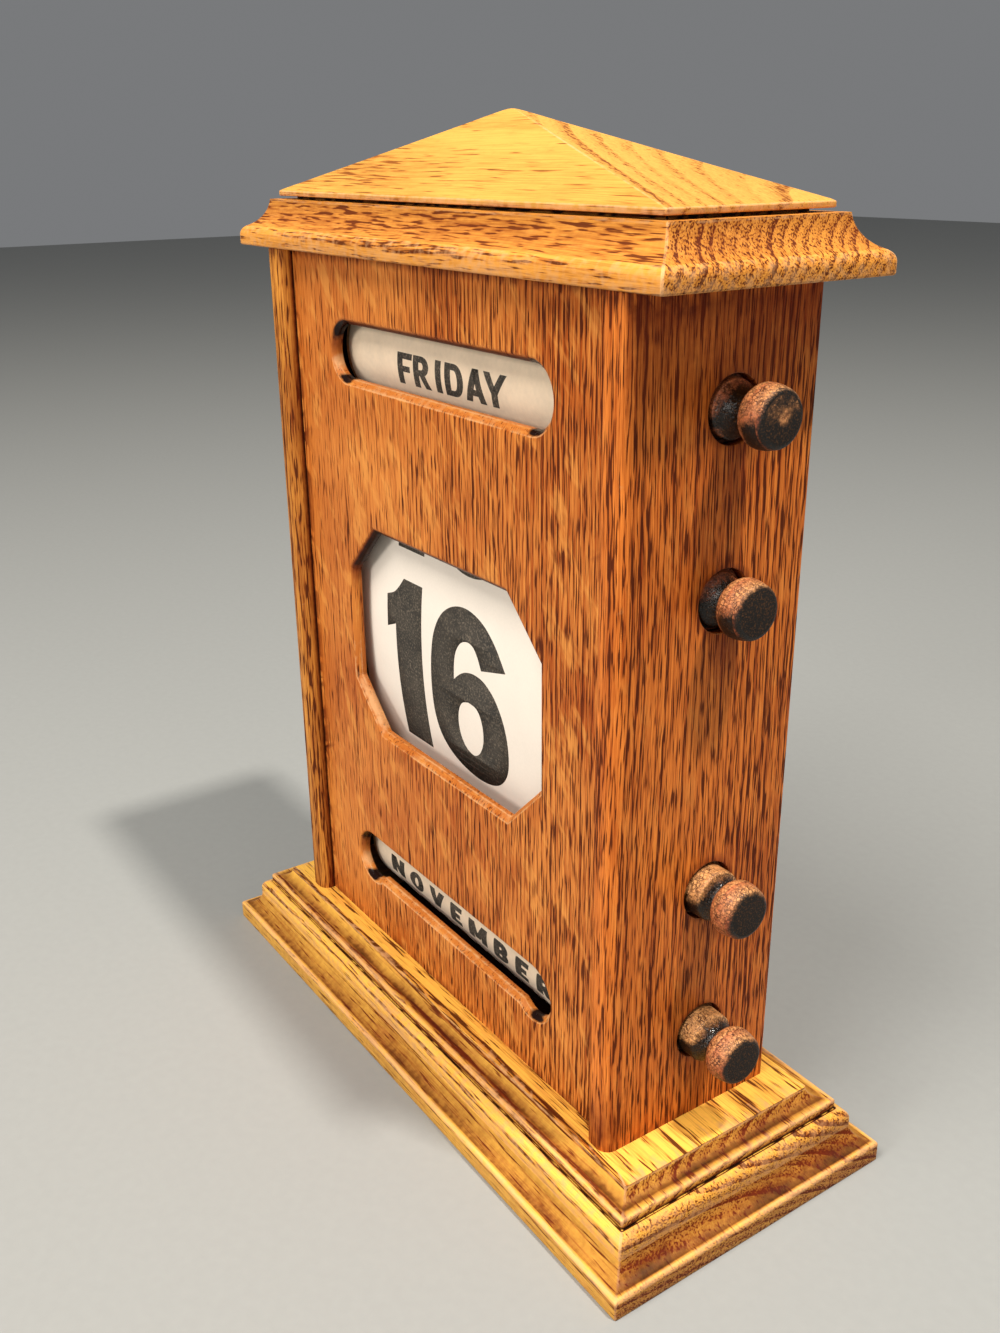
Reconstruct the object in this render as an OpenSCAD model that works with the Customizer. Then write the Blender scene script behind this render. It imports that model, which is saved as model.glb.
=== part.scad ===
// Perpetual desk calendar: an oak case whose four reels, each turned by a knob in the right
// side, show the day, the date and the month behind three windows.
// Sizes are in millimetres. X runs to the right, Y to the back and Z up. The origin is the
// middle of the plinth's underside.

/* [Case] */
// Clear width between the two side boards
inner_w = 152.4; // [140:0.2:190]
// Thickness of a side board
side_t = 9.3; // [9:0.1:13]
// Round on the front edges of a side board
edge_r = 3.6; // [1:0.1:4.4]
// How far the front panel lies behind the side boards' front edges
panel_recess = 4.6; // [4.4:0.1:10]
// Thickness of the front panel
panel_t = 3.2; // [3:0.1:6]
// Depth of the grooves that hold the front panel
groove_d = 2; // [1:0.1:3]
// Thickness of the back panel
back_t = 3.4; // [2.6:0.1:5]
// Width of the rebates that hold the back panel
rebate_w = 4.5; // [3.6:0.1:6]
// How far the back panel lies inside the case's back
back_inset = 0.4; // [0:0.1:2]
// Leg of the triangular glue blocks in the case's corners
block_leg = 12; // [6:0.5:15]

/* [Windows] */
// Width of the day and month slots at the panel's face
slot_w = 110; // [60:1:112]
// Height of the day and month slots at the panel's face
slot_h = 18.8; // [12:0.2:24]
// How far the month slot's lower edge stands above the bottom of its round ends
month_sill = 2; // [0:0.1:3]
// Width of the date window at the panel's face
window_w = 101; // [60:1:112]
// Height of the date window at the panel's face
window_h = 68.4; // [40:0.2:74]
// How far each corner of the date window is cut off
window_corner = 15.7; // [6:0.1:18]
// Bevel round the windows' front edges
bevel = 1.6; // [0.5:0.1:2.4]

/* [Plinth] */
// How far the plinth stands out in front of the case
plinth_front = 17.7; // [16:0.1:30]
// How far the plinth stands out at each side of the case
plinth_side = 26.8; // [20:0.1:40]
// How far the plinth stands out behind the case
plinth_back = 21.7; // [16:0.1:30]
// Thickness of the plinth's lower board
lower_t = 16.5; // [15:0.1:24]
// Thickness of the plinth's upper board
upper_t = 6.4; // [5:0.1:10]
// Height of the lip round the plinth's foot
lip_h = 6.2; // [3:0.1:8]
// Radius of the hollow above the lip
hollow_r = 5.2; // [3:0.1:6]
// Radius of the round above the hollow
ovolo_r = 3; // [1.5:0.1:3.6]
// Step between the lower board's round and the upper board's edge
quirk = 0.2; // [0:0.1:1]
// Radius of the hollow round the upper board's top
cove_r = 3.4; // [2:0.1:3.8]
// Width of the flat ledge below the upper board's hollow
ledge_w = 2.6; // [1.4:0.1:4]

/* [Cornice and roof] */
// How far the cornice stands out in front of the case
cornice_front = 2.2; // [1:0.1:16]
// How far the cornice stands out at each side of the case
cornice_side = 13.1; // [8:0.1:24]
// How far the cornice stands out behind the case
cornice_back = 8.4; // [2:0.1:16]
// Thickness of the cornice board
cornice_t = 13.2; // [11:0.1:18]
// Height of the upright lip below the cornice's nose
cornice_lip = 2.8; // [1.2:0.1:4]
// Radius of the cornice's nose
nose_r = 3; // [1.5:0.1:4]
// How far the cornice's top edge lies in from its lip
cornice_in = 7.5; // [5.5:0.1:10]
// How far the roof lies in from the cornice's top edge at the ends
roof_side_in = 2.8; // [0.5:0.1:12]
// How far the roof lies in from the cornice's top edge at the front and back
roof_front_in = 1.9; // [0.5:0.1:6]
// Height of the shadow gap under the roof
roof_gap = 0.9; // [0.4:0.1:3]
// How far the shadow gap runs in under the roof
gap_in = 7; // [3:0.5:14]
// Thickness of the roof's lower edge
roof_edge = 1.5; // [0.6:0.1:5]
// Rise of the roof's slopes from the edge to the tip
roof_rise = 21; // [10:0.5:40]
// Rounding of the roof's tip
tip_r = 1.5; // [0.5:0.1:4]

/* [Reels] */
// Diameter of the day and month drums over their linen
drum_d = 41.7; // [34:0.1:48]
// Thickness of the printed linen on the drums
band_t = 0.25; // [0.15:0.05:0.6]
// Gap between the drums and the front panel
drum_gap = 3.4; // [2.6:0.1:6]
// Gap between the drums and the back panel
back_gap = 0.9; // [0.5:0.1:6]
// Gap between the front panel and the middle of the number strip
strip_room = 3.05; // [1:0.05:3.4]
// How far the middle of the number strip bows out in front of the rolls
strip_bow = 4.5; // [1:0.1:8]
// Thickness of the number strip where it crosses the date window
strip_t = 0.3; // [0.2:0.05:0.4]
// Thickness of the strip wound on each roller, with half of it on each
wound_t = 1.2; // [0.6:0.1:3]
// Height from the lower number roller's axis to the upper one's
strip_span = 78.6; // [76:0.2:120]
// Gap between the plinth and the month drum
floor_gap = 5.75; // [4:0.05:20]
// Gap between the month drum and the lower number roll
month_gap = 6.85; // [3:0.05:16]
// Gap between the upper number roll and the day drum
day_gap = 7.95; // [3:0.05:16]
// Gap between the day drum and the cornice
top_gap = 6.55; // [4:0.05:20]
// Length of the bare hub at each end of a drum
hub_l = 18.6; // [16:0.1:28]
// Diameter of the hubs
hub_d = 20; // [18:0.5:24]
// Bare wood left at each end of the printed linen and the strip
print_in = 2; // [0:0.1:6]

/* [Spindles and knobs] */
// Diameter of the holes in the right side board
hole_d = 16; // [15.2:0.1:17]
// Diameter of a spindle's shaft
shaft_d = 12; // [8:0.1:12.4]
// How far a spindle runs on its full diameter in the right side board
bearing_l = 6; // [3:0.1:7]
// How far a shaft's end reaches into the left side board
spigot_l = 6; // [3:0.1:7]
// Diameter of the barrel that shows in the hole
barrel_d = 13.9; // [13:0.1:14.6]
// Diameter of the neck between the barrel and the knob
neck_d = 11.4; // [8:0.1:12.4]
// Largest diameter of a knob
knob_d = 14.7; // [14:0.1:15]
// Length of a knob
knob_l = 9.1; // [7:0.1:9.6]
// Diameter of a knob's end face
face_d = 12.8; // [9:0.1:13.4]
// How far the day knob's face stands out from the case
day_reach = 14.8; // [12.4:0.1:18]
// How far the upper date knob's face stands out from the case
upper_reach = 11.6; // [11:0.1:18]
// How far the lower date knob's face stands out from the case
lower_reach = 15.4; // [15:0.1:20]
// How far the month knob's face stands out from the case
month_reach = 16.9; // [15.6:0.1:20]
// How far the day knob's barrel stands out from the case
day_barrel = 0.2; // [-1:0.1:2]
// How far the upper date knob's barrel stands out from the case, less than 0 inside it
upper_barrel = -1.1; // [-2:0.1:0.5]
// How far the lower date knob's barrel stands out from the case
lower_barrel = 4; // [0:0.1:4.4]
// How far the month knob's barrel stands out from the case
month_barrel = 4.6; // [0:0.1:5]

/* [Clearances and screws] */
// Radial play of a spindle in its holes
run_fit = 0.07; // [0.02:0.01:0.1]
// Play at each end of a reel between the side boards
end_play = 0.3; // [0.2:0.05:1]
// Gap between the number strip and the roll that it leaves
strip_gap = 0.3; // [0.25:0.05:0.5]
// Gap between a panel's edge and the bottom of its groove or rebate
edge_fit = 0.3; // [0.1:0.1:0.6]
// Diameter of the back panel's screws
back_screw_d = 2; // [1.6:0.1:2.2]
// Length of the back panel's screws
back_screw_l = 10; // [8:0.5:14]
// Diameter of the screws that hold the sides to the plinth
plinth_screw_d = 4; // [3:0.1:4.5]
// How far those screws reach into the sides
plinth_screw_in = 15; // [10:0.5:25]

/* [Hidden] */

oak = [0.71, 0.42, 0.19];
light_oak = [0.86, 0.58, 0.27];
turned_wood = [0.66, 0.40, 0.24];
drum_wood = [0.80, 0.66, 0.46];
linen = [0.86, 0.78, 0.67];
paper = [0.95, 0.92, 0.87];
brass = [0.72, 0.58, 0.30];

// Depth of the case, from what stands one behind another in it
drum_r = drum_d / 2;
case_w = inner_w + 2 * side_t;
case_d = panel_recess + panel_t + drum_gap + drum_d + back_gap + back_t + back_inset;
plinth_w = case_w + 2 * plinth_side;
plinth_d = case_d + plinth_front + plinth_back;
plinth_h = lower_t + upper_t;
case_front = -plinth_d / 2 + plinth_front;
case_back = case_front + case_d;
panel_front = case_front + panel_recess;
panel_back = panel_front + panel_t;
back_front = case_back - back_inset - back_t;
axis_y = panel_back + drum_gap + drum_r;

// Heights of the reels, one above another between the plinth and the cornice
strip_out = drum_r + drum_gap - strip_room;
roll_r = strip_out - strip_bow - strip_t - strip_gap;
month_z = plinth_h + floor_gap + drum_r;
lower_z = month_z + drum_r + month_gap + roll_r;
upper_z = lower_z + strip_span;
day_z = upper_z + roll_r + day_gap + drum_r;
case_top = day_z + drum_r + top_gap;
case_h = case_top - plinth_h;
date_z = (lower_z + upper_z) / 2;
reel_heights = [month_z, lower_z, upper_z, day_z];

drum_w = inner_w - 2 * hub_l;
print_w = drum_w - 2 * print_in;
hub_end = inner_w / 2 - end_play;
case_side = case_w / 2;

// Cornice and roof, set out from the case
cornice_w = case_w + 2 * cornice_side;
cornice_d = case_d + cornice_front + cornice_back;
cornice_y = (case_front - cornice_front + case_back + cornice_back) / 2;
cornice_top = case_top + cornice_t;
roof_w = cornice_w - 2 * (cornice_in + roof_side_in);
roof_d = cornice_d - 2 * (cornice_in + roof_front_in);
roof_foot_z = roof_gap + roof_edge;

// Small rounds and cutter overlap
soft_r = 0.6;
lip_r = 0.9;
over = 1;
arc_steps = 10;
$fn = 64;

// Points of an arc about a centre, from one angle to another
function arc(centre, r, from, to, steps = arc_steps) =
    [for (i = [0:steps]) let (a = from + (to - from) * i / steps) centre + r * [cos(a), sin(a)]];

// Mouldings are lists of [inset from the board's edge, height], from the underside up.
hollow_c = [lip_r, lip_h + hollow_r];
ovolo_in = lip_r + hollow_r;
lower_profile = concat(
    [[0, 0]],
    arc([lip_r, lip_h - lip_r], lip_r, 180, 90, 4),
    arc(hollow_c, hollow_r, -80, 0),
    arc([ovolo_in + ovolo_r, lower_t - ovolo_r], ovolo_r, 180, 90),
    [[ovolo_in + ovolo_r + quirk, lower_t]]
);

step_in = ovolo_in + ovolo_r + quirk;
ledge_z = upper_t - cove_r;
upper_profile = concat(
    arc([soft_r, soft_r], soft_r, 270, 180, 4),
    arc([soft_r, ledge_z - soft_r], soft_r, 180, 90, 4),
    arc([ledge_w, upper_t], cove_r, -90, 0)
);

// The cornice is an ogee: a nose, then a hollow that meets it without a break. The hollow
// would stand upright cove_over above the top, which fixes its radius.
cove_over = 1;
nose_c = [nose_r, cornice_lip];
cove_rise = cornice_t + cove_over - cornice_lip;
cove_run = cornice_in - nose_r;
cornice_cove_r = (cove_run * cove_run + cove_rise * cove_rise - nose_r * nose_r) / (2 * cornice_in);
cornice_cove_c = [cornice_in - cornice_cove_r, cornice_t + cove_over];
meet_angle = atan2(cornice_cove_c.y - nose_c.y, cornice_cove_c.x - nose_c.x);
cornice_profile = concat(
    arc([soft_r, soft_r], soft_r, 270, 180, 4),
    arc(nose_c, nose_r, 180, meet_angle),
    arc(cornice_cove_c, cornice_cove_r, meet_angle - 180, -asin(cove_over / cornice_cove_r), 14)
);

// A board's section across one way, with the same moulding at both edges
module board_section(span, profile) {
    last = len(profile) - 1;
    polygon(concat(
        [for (p = profile) [span / 2 - p.x, p.y]],
        [for (i = [last:-1:0]) [profile[i].x - span / 2, profile[i].y]]
    ));
}

// A board moulded on all four edges: its two sections run through each other, so the
// mouldings meet in mitres at the corners.
module moulded_board(w, d, profile) {
    intersection() {
        rotate([90, 0, 0]) linear_extrude(height = d + 2 * over, center = true)
            board_section(w, profile);
        rotate([90, 0, 90]) linear_extrude(height = w + 2 * over, center = true)
            board_section(d, profile);
    }
}

// Places what repeats at each screw of the plinth
screw_x = case_side - side_t / 2;
screw_y = case_d / 4;
case_mid = (case_front + case_back) / 2;
module at_plinth_screws() {
    for (x = [-screw_x, screw_x], y = [-screw_y, screw_y])
        translate([x, case_mid + y, 0]) children();
}

// Places what repeats at each screw of the back panel, with its axis towards the front
back_screw_x = inner_w / 2 + (rebate_w - edge_fit) / 2;
module at_back_screws() {
    for (x = [-back_screw_x, back_screw_x], k = [0.08, 0.5, 0.92])
        translate([x, case_back - back_inset, plinth_h + k * case_h]) rotate([90, 0, 0]) children();
}

// Countersunk head, shank and point of a screw along +Z, and the shape of its hole
module screw_body(d, l) {
    cylinder(d1 = 2 * d, d2 = d, h = d / 2);
    cylinder(d = d, h = l - d);
    translate([0, 0, l - d]) cylinder(d1 = d, d2 = d / 5, h = d);
}

// A screw with a slot across its head
module screw(d, l) {
    difference() {
        screw_body(d, l);
        cube([3 * d, d / 4, d / 2], center = true);
    }
}

plinth_screw_l = plinth_h + plinth_screw_in;

module plinth_lower() {
    color(light_oak)
        difference() {
            moulded_board(plinth_w, plinth_d, lower_profile);
            at_plinth_screws() screw_body(plinth_screw_d, plinth_screw_l);
        }
}

module plinth_upper() {
    color(light_oak)
        difference() {
            translate([0, 0, lower_t])
                moulded_board(plinth_w - 2 * step_in, plinth_d - 2 * step_in, upper_profile);
            at_plinth_screws() screw_body(plinth_screw_d, plinth_screw_l);
        }
}

// Plan of a side board on the right: rounded front edges, a groove for the front panel and a
// rebate for the back panel, both on its inner face
module side_plan() {
    inner = inner_w / 2;
    polygon(concat(
        arc([inner + edge_r, case_front + edge_r], edge_r, 180, 270, 6),
        arc([case_side - edge_r, case_front + edge_r], edge_r, 270, 360, 6),
        arc([case_side - soft_r, case_back - soft_r], soft_r, 0, 90, 3),
        [
            [inner + rebate_w, case_back],
            [inner + rebate_w, back_front],
            [inner, back_front],
            [inner, panel_back],
            [inner + groove_d, panel_back],
            [inner + groove_d, panel_front],
            [inner, panel_front]
        ]
    ));
}

module side_board() {
    translate([0, 0, plinth_h]) linear_extrude(height = case_h) side_plan();
}

module side_right() {
    color(oak)
        difference() {
            side_board();
            for (z = reel_heights)
                translate([inner_w / 2 - over, axis_y, z]) rotate([0, 90, 0])
                    cylinder(d = hole_d, h = side_t + 2 * over);
            at_plinth_screws() screw_body(plinth_screw_d, plinth_screw_l);
            at_back_screws() screw_body(back_screw_d, back_screw_l);
        }
}

// The left side board is the right one turned over, with blind holes for the shafts' ends
module side_left() {
    color(oak)
        difference() {
            mirror([1, 0, 0]) side_board();
            for (z = reel_heights)
                translate([-inner_w / 2 - spigot_l - end_play, axis_y, z]) rotate([0, 90, 0])
                    cylinder(d = shaft_d + 2 * run_fit, h = spigot_l + end_play + over);
            at_plinth_screws() screw_body(plinth_screw_d, plinth_screw_l);
            at_back_screws() screw_body(back_screw_d, back_screw_l);
        }
}

// Half of a slot's section that is h high, as [height, distance out of the panel's face]
function slot_section(h) = [
    [0, -panel_t - over],
    [h - bevel, -panel_t - over],
    [h - bevel, -bevel],
    [h + over, over],
    [0, over]
];

// Cuts a slot through the front panel, with a bevel round its face. Its ends are drilled round,
// and its lower edge between them is sawn at the sill's height above their bottoms.
module slot_cut(z, sill) {
    end_x = (slot_w - slot_h) / 2;
    translate([0, panel_front, z]) rotate([90, 0, 0]) {
        for (s = [-1, 1])
            translate([s * end_x, 0, 0]) rotate_extrude() polygon(slot_section(slot_h / 2));
        rotate([90, 0, 90]) linear_extrude(height = 2 * end_x, center = true) {
            polygon(slot_section(slot_h / 2));
            mirror([1, 0]) polygon(slot_section(slot_h / 2 - sill));
        }
    }
}

// Outline of the date window, a rectangle with cut corners, grown outwards by a margin
module window_outline(grow) {
    x = window_w / 2 + grow;
    z = window_h / 2 + grow;
    c = window_corner + grow * (2 - sqrt(2));
    polygon([
        [x, z - c], [x - c, z], [c - x, z], [-x, z - c],
        [-x, c - z], [c - x, -z], [x - c, -z], [x, c - z]
    ]);
}

module date_cut() {
    thin = 0.01;
    translate([0, panel_front, date_z]) rotate([90, 0, 0]) {
        translate([0, 0, -panel_t - over]) linear_extrude(height = panel_t + over)
            window_outline(-bevel);
        hull() {
            translate([0, 0, -bevel - thin]) linear_extrude(height = thin) window_outline(-bevel);
            translate([0, 0, over]) linear_extrude(height = thin) window_outline(over);
        }
    }
}

module front_panel() {
    w = inner_w + 2 * (groove_d - edge_fit);
    color(oak)
        difference() {
            translate([-w / 2, panel_front, plinth_h]) cube([w, panel_t, case_h]);
            slot_cut(day_z, 0);
            slot_cut(month_z, month_sill);
            date_cut();
        }
}

module back_panel() {
    w = inner_w + 2 * (rebate_w - edge_fit);
    color(oak)
        difference() {
            translate([-w / 2, back_front, plinth_h]) cube([w, back_t, case_h]);
            at_back_screws() screw_body(back_screw_d, back_screw_l);
        }
}

// A pair of triangular glue blocks, from the front panel to the back panel, in the corners
// between the sides and the board at height z; up is 1 above that board and -1 below it
module corner_blocks(z, up) {
    inner = inner_w / 2;
    color(drum_wood)
        for (s = [-1, 1])
            translate([0, back_front, z]) rotate([90, 0, 0])
                linear_extrude(height = back_front - panel_back)
                    polygon([[s * inner, 0], [s * (inner - block_leg), 0], [s * inner, up * block_leg]]);
}

module corner_blocks_lower() {
    corner_blocks(plinth_h, 1);
}

module corner_blocks_upper() {
    corner_blocks(case_top, -1);
}

module cornice_board() {
    color(oak)
        translate([0, cornice_y, case_top]) moulded_board(cornice_w, cornice_d, cornice_profile);
}

// Section of the roof across one way: a recessed foot, a thin edge and two slopes that meet
// in a rounded tip
module roof_section(span) {
    slope = atan(roof_rise / (span / 2));
    tip_c = [0, roof_foot_z + roof_rise - tip_r / cos(slope)];
    polygon(concat(
        [
            [gap_in - span / 2, roof_gap], [gap_in - span / 2, 0],
            [span / 2 - gap_in, 0], [span / 2 - gap_in, roof_gap],
            [span / 2, roof_gap], [span / 2, roof_foot_z]
        ],
        arc(tip_c, tip_r, 90 - slope, 90 + slope, 4),
        [[-span / 2, roof_foot_z], [-span / 2, roof_gap]]
    ));
}

module roof_cap() {
    color(light_oak)
        translate([0, cornice_y, cornice_top])
            intersection() {
                rotate([90, 0, 0]) linear_extrude(height = roof_d + 2 * over, center = true)
                    roof_section(roof_w);
                rotate([90, 0, 90]) linear_extrude(height = roof_w + 2 * over, center = true)
                    roof_section(roof_d);
            }
}

module back_screws() {
    color(brass) at_back_screws() screw(back_screw_d, back_screw_l);
}

module plinth_screws() {
    color(brass) at_plinth_screws() screw(plinth_screw_d, plinth_screw_l);
}

// Lays a reel's part, modelled about Z, along X at the reel's height
module on_reel(z) {
    translate([0, axis_y, z]) rotate([0, 90, 0]) children();
}

// Outline of a knob as [radius, distance out], from its neck to the middle of its face: it
// swells to knob_d at knob_l * 0.45 and draws in to face_d.
function knob_outline(out) =
    let (wide = knob_l * 0.45, neck_end = neck_d / 2 + 0.3, dome = 0.4)
    concat(
        [for (i = [0:8]) let (u = 1 - i / 8)
            [knob_d / 2 - (knob_d / 2 - neck_end) * pow(u, 2.6), out - knob_l + wide * (1 - u)]],
        [for (i = [1:6]) let (u = i / 6)
            [knob_d / 2 - (knob_d - face_d) / 2 * u * u, out - knob_l + wide + (knob_l - wide - dome) * u]],
        [[face_d / 2 - 0.5, out - 0.1], [0, out]]
    );

// A turned spindle and knob in one piece: the shaft's end in the left side, the shaft through
// the drum, the journal in the right side, then the barrel, neck and knob
module spindle(z, reach, barrel_out) {
    left = -inner_w / 2 - spigot_l;
    right = inner_w / 2;
    face = right + side_t + reach;
    barrel_end = right + side_t + barrel_out;
    journal_r = hole_d / 2 - run_fit;
    color(turned_wood)
        on_reel(z)
            rotate_extrude()
                polygon(concat(
                    [
                        [0, left], [shaft_d / 2 - soft_r, left], [shaft_d / 2, left + soft_r],
                        [shaft_d / 2, hub_end], [journal_r, hub_end],
                        [journal_r, right + bearing_l], [barrel_d / 2, right + bearing_l],
                        [barrel_d / 2, barrel_end - soft_r], [barrel_d / 2 - soft_r, barrel_end],
                        [neck_d / 2, barrel_end]
                    ],
                    knob_outline(face)
                ));
}

// A bored drum with a smaller hub at each end, which keeps it between the side boards
module drum(z, r) {
    color(drum_wood)
        on_reel(z)
            difference() {
                union() {
                    cylinder(r = r, h = drum_w, center = true);
                    cylinder(d = hub_d, h = 2 * hub_end, center = true);
                }
                cylinder(d = shaft_d, h = inner_w + 2 * over, center = true);
            }
}

// A sleeve of linen or wound paper round a drum
module sleeve(z, r, t, tint) {
    color(tint)
        on_reel(z)
            difference() {
                cylinder(r = r, h = print_w, center = true);
                cylinder(r = r - t, h = print_w + 2 * over, center = true);
            }
}

module day_spindle() {
    spindle(day_z, day_reach, day_barrel);
}

module day_drum() {
    drum(day_z, drum_r - band_t);
}

module day_band() {
    sleeve(day_z, drum_r, band_t, linen);
}

module upper_spindle() {
    spindle(upper_z, upper_reach, upper_barrel);
}

module upper_roller() {
    drum(upper_z, roll_r - wound_t);
}

module upper_roll() {
    sleeve(upper_z, roll_r, wound_t, paper);
}

module lower_spindle() {
    spindle(lower_z, lower_reach, lower_barrel);
}

module lower_roller() {
    drum(lower_z, roll_r - wound_t);
}

module lower_roll() {
    sleeve(lower_z, roll_r, wound_t, paper);
}

module month_spindle() {
    spindle(month_z, month_reach, month_barrel);
}

module month_drum() {
    drum(month_z, drum_r - band_t);
}

module month_band() {
    sleeve(month_z, drum_r, band_t, linen);
}

// The stretch of number strip between the two rolls. The stiff strip bows out in an arc that
// leaves both rolls at a tangent, which fixes its radius.
strip_touch_r = strip_out - strip_bow;
half_span = strip_span / 2;
bow_r = (strip_out * strip_out - strip_touch_r * strip_touch_r + half_span * half_span) / (2 * strip_bow);
bow_angle = atan2(half_span, bow_r - strip_out);
bow_steps = 24;

module date_strip() {
    centre = [panel_back + strip_room + bow_r, date_z];
    from = 180 - bow_angle;
    to = 180 + bow_angle;
    color(paper)
        rotate([90, 0, 90]) linear_extrude(height = print_w, center = true)
            polygon(concat(
                arc(centre, bow_r, from, to, bow_steps),
                arc(centre, bow_r - strip_t, to, from, bow_steps)
            ));
}

plinth_lower();
plinth_upper();
side_left();
side_right();
front_panel();
back_panel();
corner_blocks_lower();
corner_blocks_upper();
cornice_board();
roof_cap();
back_screws();
plinth_screws();
day_spindle();
day_drum();
day_band();
upper_spindle();
upper_roller();
upper_roll();
lower_spindle();
lower_roller();
lower_roll();
date_strip();
month_spindle();
month_drum();
month_band();
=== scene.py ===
"""Looks of an oak perpetual desk calendar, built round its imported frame. Lengths are in metres."""

import functools
import math

import bmesh
import bpy
import numpy as np
from mathutils import Matrix, Vector
from mathutils.geometry import tessellate_polygon


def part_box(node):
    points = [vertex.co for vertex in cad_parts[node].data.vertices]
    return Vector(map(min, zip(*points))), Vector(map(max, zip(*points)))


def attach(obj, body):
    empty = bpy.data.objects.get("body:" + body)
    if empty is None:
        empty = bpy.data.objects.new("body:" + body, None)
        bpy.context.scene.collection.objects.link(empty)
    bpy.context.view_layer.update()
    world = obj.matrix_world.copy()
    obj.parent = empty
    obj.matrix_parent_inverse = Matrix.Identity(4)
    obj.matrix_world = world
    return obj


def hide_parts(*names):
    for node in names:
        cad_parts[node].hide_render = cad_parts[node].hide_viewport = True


bl_info = {
    "name": "Perpetual desk calendar",
    "version": (1, 0, 0),
    "blender": (4, 5, 0),
    "location": "3D View > Sidebar > Calendar",
    "description": "Builds the oak case, the drums, the number strip and the knobs of a desk calendar",
    "category": "Object",
}

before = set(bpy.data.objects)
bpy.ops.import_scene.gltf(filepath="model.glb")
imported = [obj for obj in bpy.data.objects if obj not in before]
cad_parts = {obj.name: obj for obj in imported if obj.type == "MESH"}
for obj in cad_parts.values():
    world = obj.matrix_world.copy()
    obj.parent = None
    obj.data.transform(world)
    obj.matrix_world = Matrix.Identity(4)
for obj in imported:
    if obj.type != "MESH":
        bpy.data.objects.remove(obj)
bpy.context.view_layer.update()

MM = 0.001
# Where the painted shade beside the front panel begins on each side, and how thick the number strip is
CASE_INNER, STRIP_THICKNESS = 76.2 * MM, 0.3 * MM


def linear(hex_colour):
    """Turns an sRGB colour such as #C46D2D into the linear values that Blender's sockets take."""
    channels = [int(hex_colour[i:i + 2], 16) / 255 for i in (1, 3, 5)]
    return tuple(c / 12.92 if c <= 0.04045 else ((c + 0.055) / 1.055) ** 2.4 for c in channels)


def length(name, description, value):
    return bpy.props.FloatProperty(name=name, description=description, default=value * MM,
                                   unit="LENGTH", precision=5)


def colour(name, description, hex_colour):
    return bpy.props.FloatVectorProperty(name=name, description=description, subtype="COLOR",
                                         size=3, min=0, max=1, default=linear(hex_colour))


class CalendarSizes(bpy.types.PropertyGroup):
    """The sizes that aren't read from the frame"""
    edge_r: length("Side board edges", "Radius of the front edges of the side boards", 3.6)
    arris_r: length("Arris", "Radius of a hand-sanded arris", 0.45)
    mitre_r: length("Mitre corner", "Radius of the corners where two mouldings meet", 0.7)
    slot_w: length("Slot width", "Width of the day and month slots at the face", 110)
    slot_h: length("Slot height", "Height of the day and month slots at the face", 18.8)
    window_w: length("Window width", "Width of the date window at the face", 101)
    window_h: length("Window height", "Height of the date window at the face", 68.4)
    window_cut: length("Window corner", "Length of the cut off each corner of the date window", 15.7)
    sill: length("Month slot sill", "Height of the month slot's lower edge above its ends' bottoms", 2)
    bevel: length("Bevel", "Width of the bevel round each opening", 1.6)
    screw_d: length("Plinth screw", "Diameter of the screws up through the plinth", 4)
    hole_d: length("Knob hole", "Diameter of the holes for the knobs", 16)
    barrel_d: length("Barrel", "Diameter of a knob's barrel", 13.9)
    neck_d: length("Neck", "Least diameter of a knob's coved neck", 8.4)
    knob_d: length("Knob", "Widest diameter of a knob", 14.7)
    knob_l: length("Knob length", "Length of a knob from its neck to its face", 9.1)
    rim_r: length("Knob rim", "Radius of the rim round a knob's face", 1.5)
    ink: length("Ink", "Height of the print above its paper or linen", 0.03)
    day_letter: length("Day letters", "Height of the letters of the days", 9.0)
    month_letter: length("Month letters", "Height of the letters of the months", 7.2)
    number_pitch: length("Number pitch", "Distance from one number to the next on the strip", 62.3)


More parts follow.
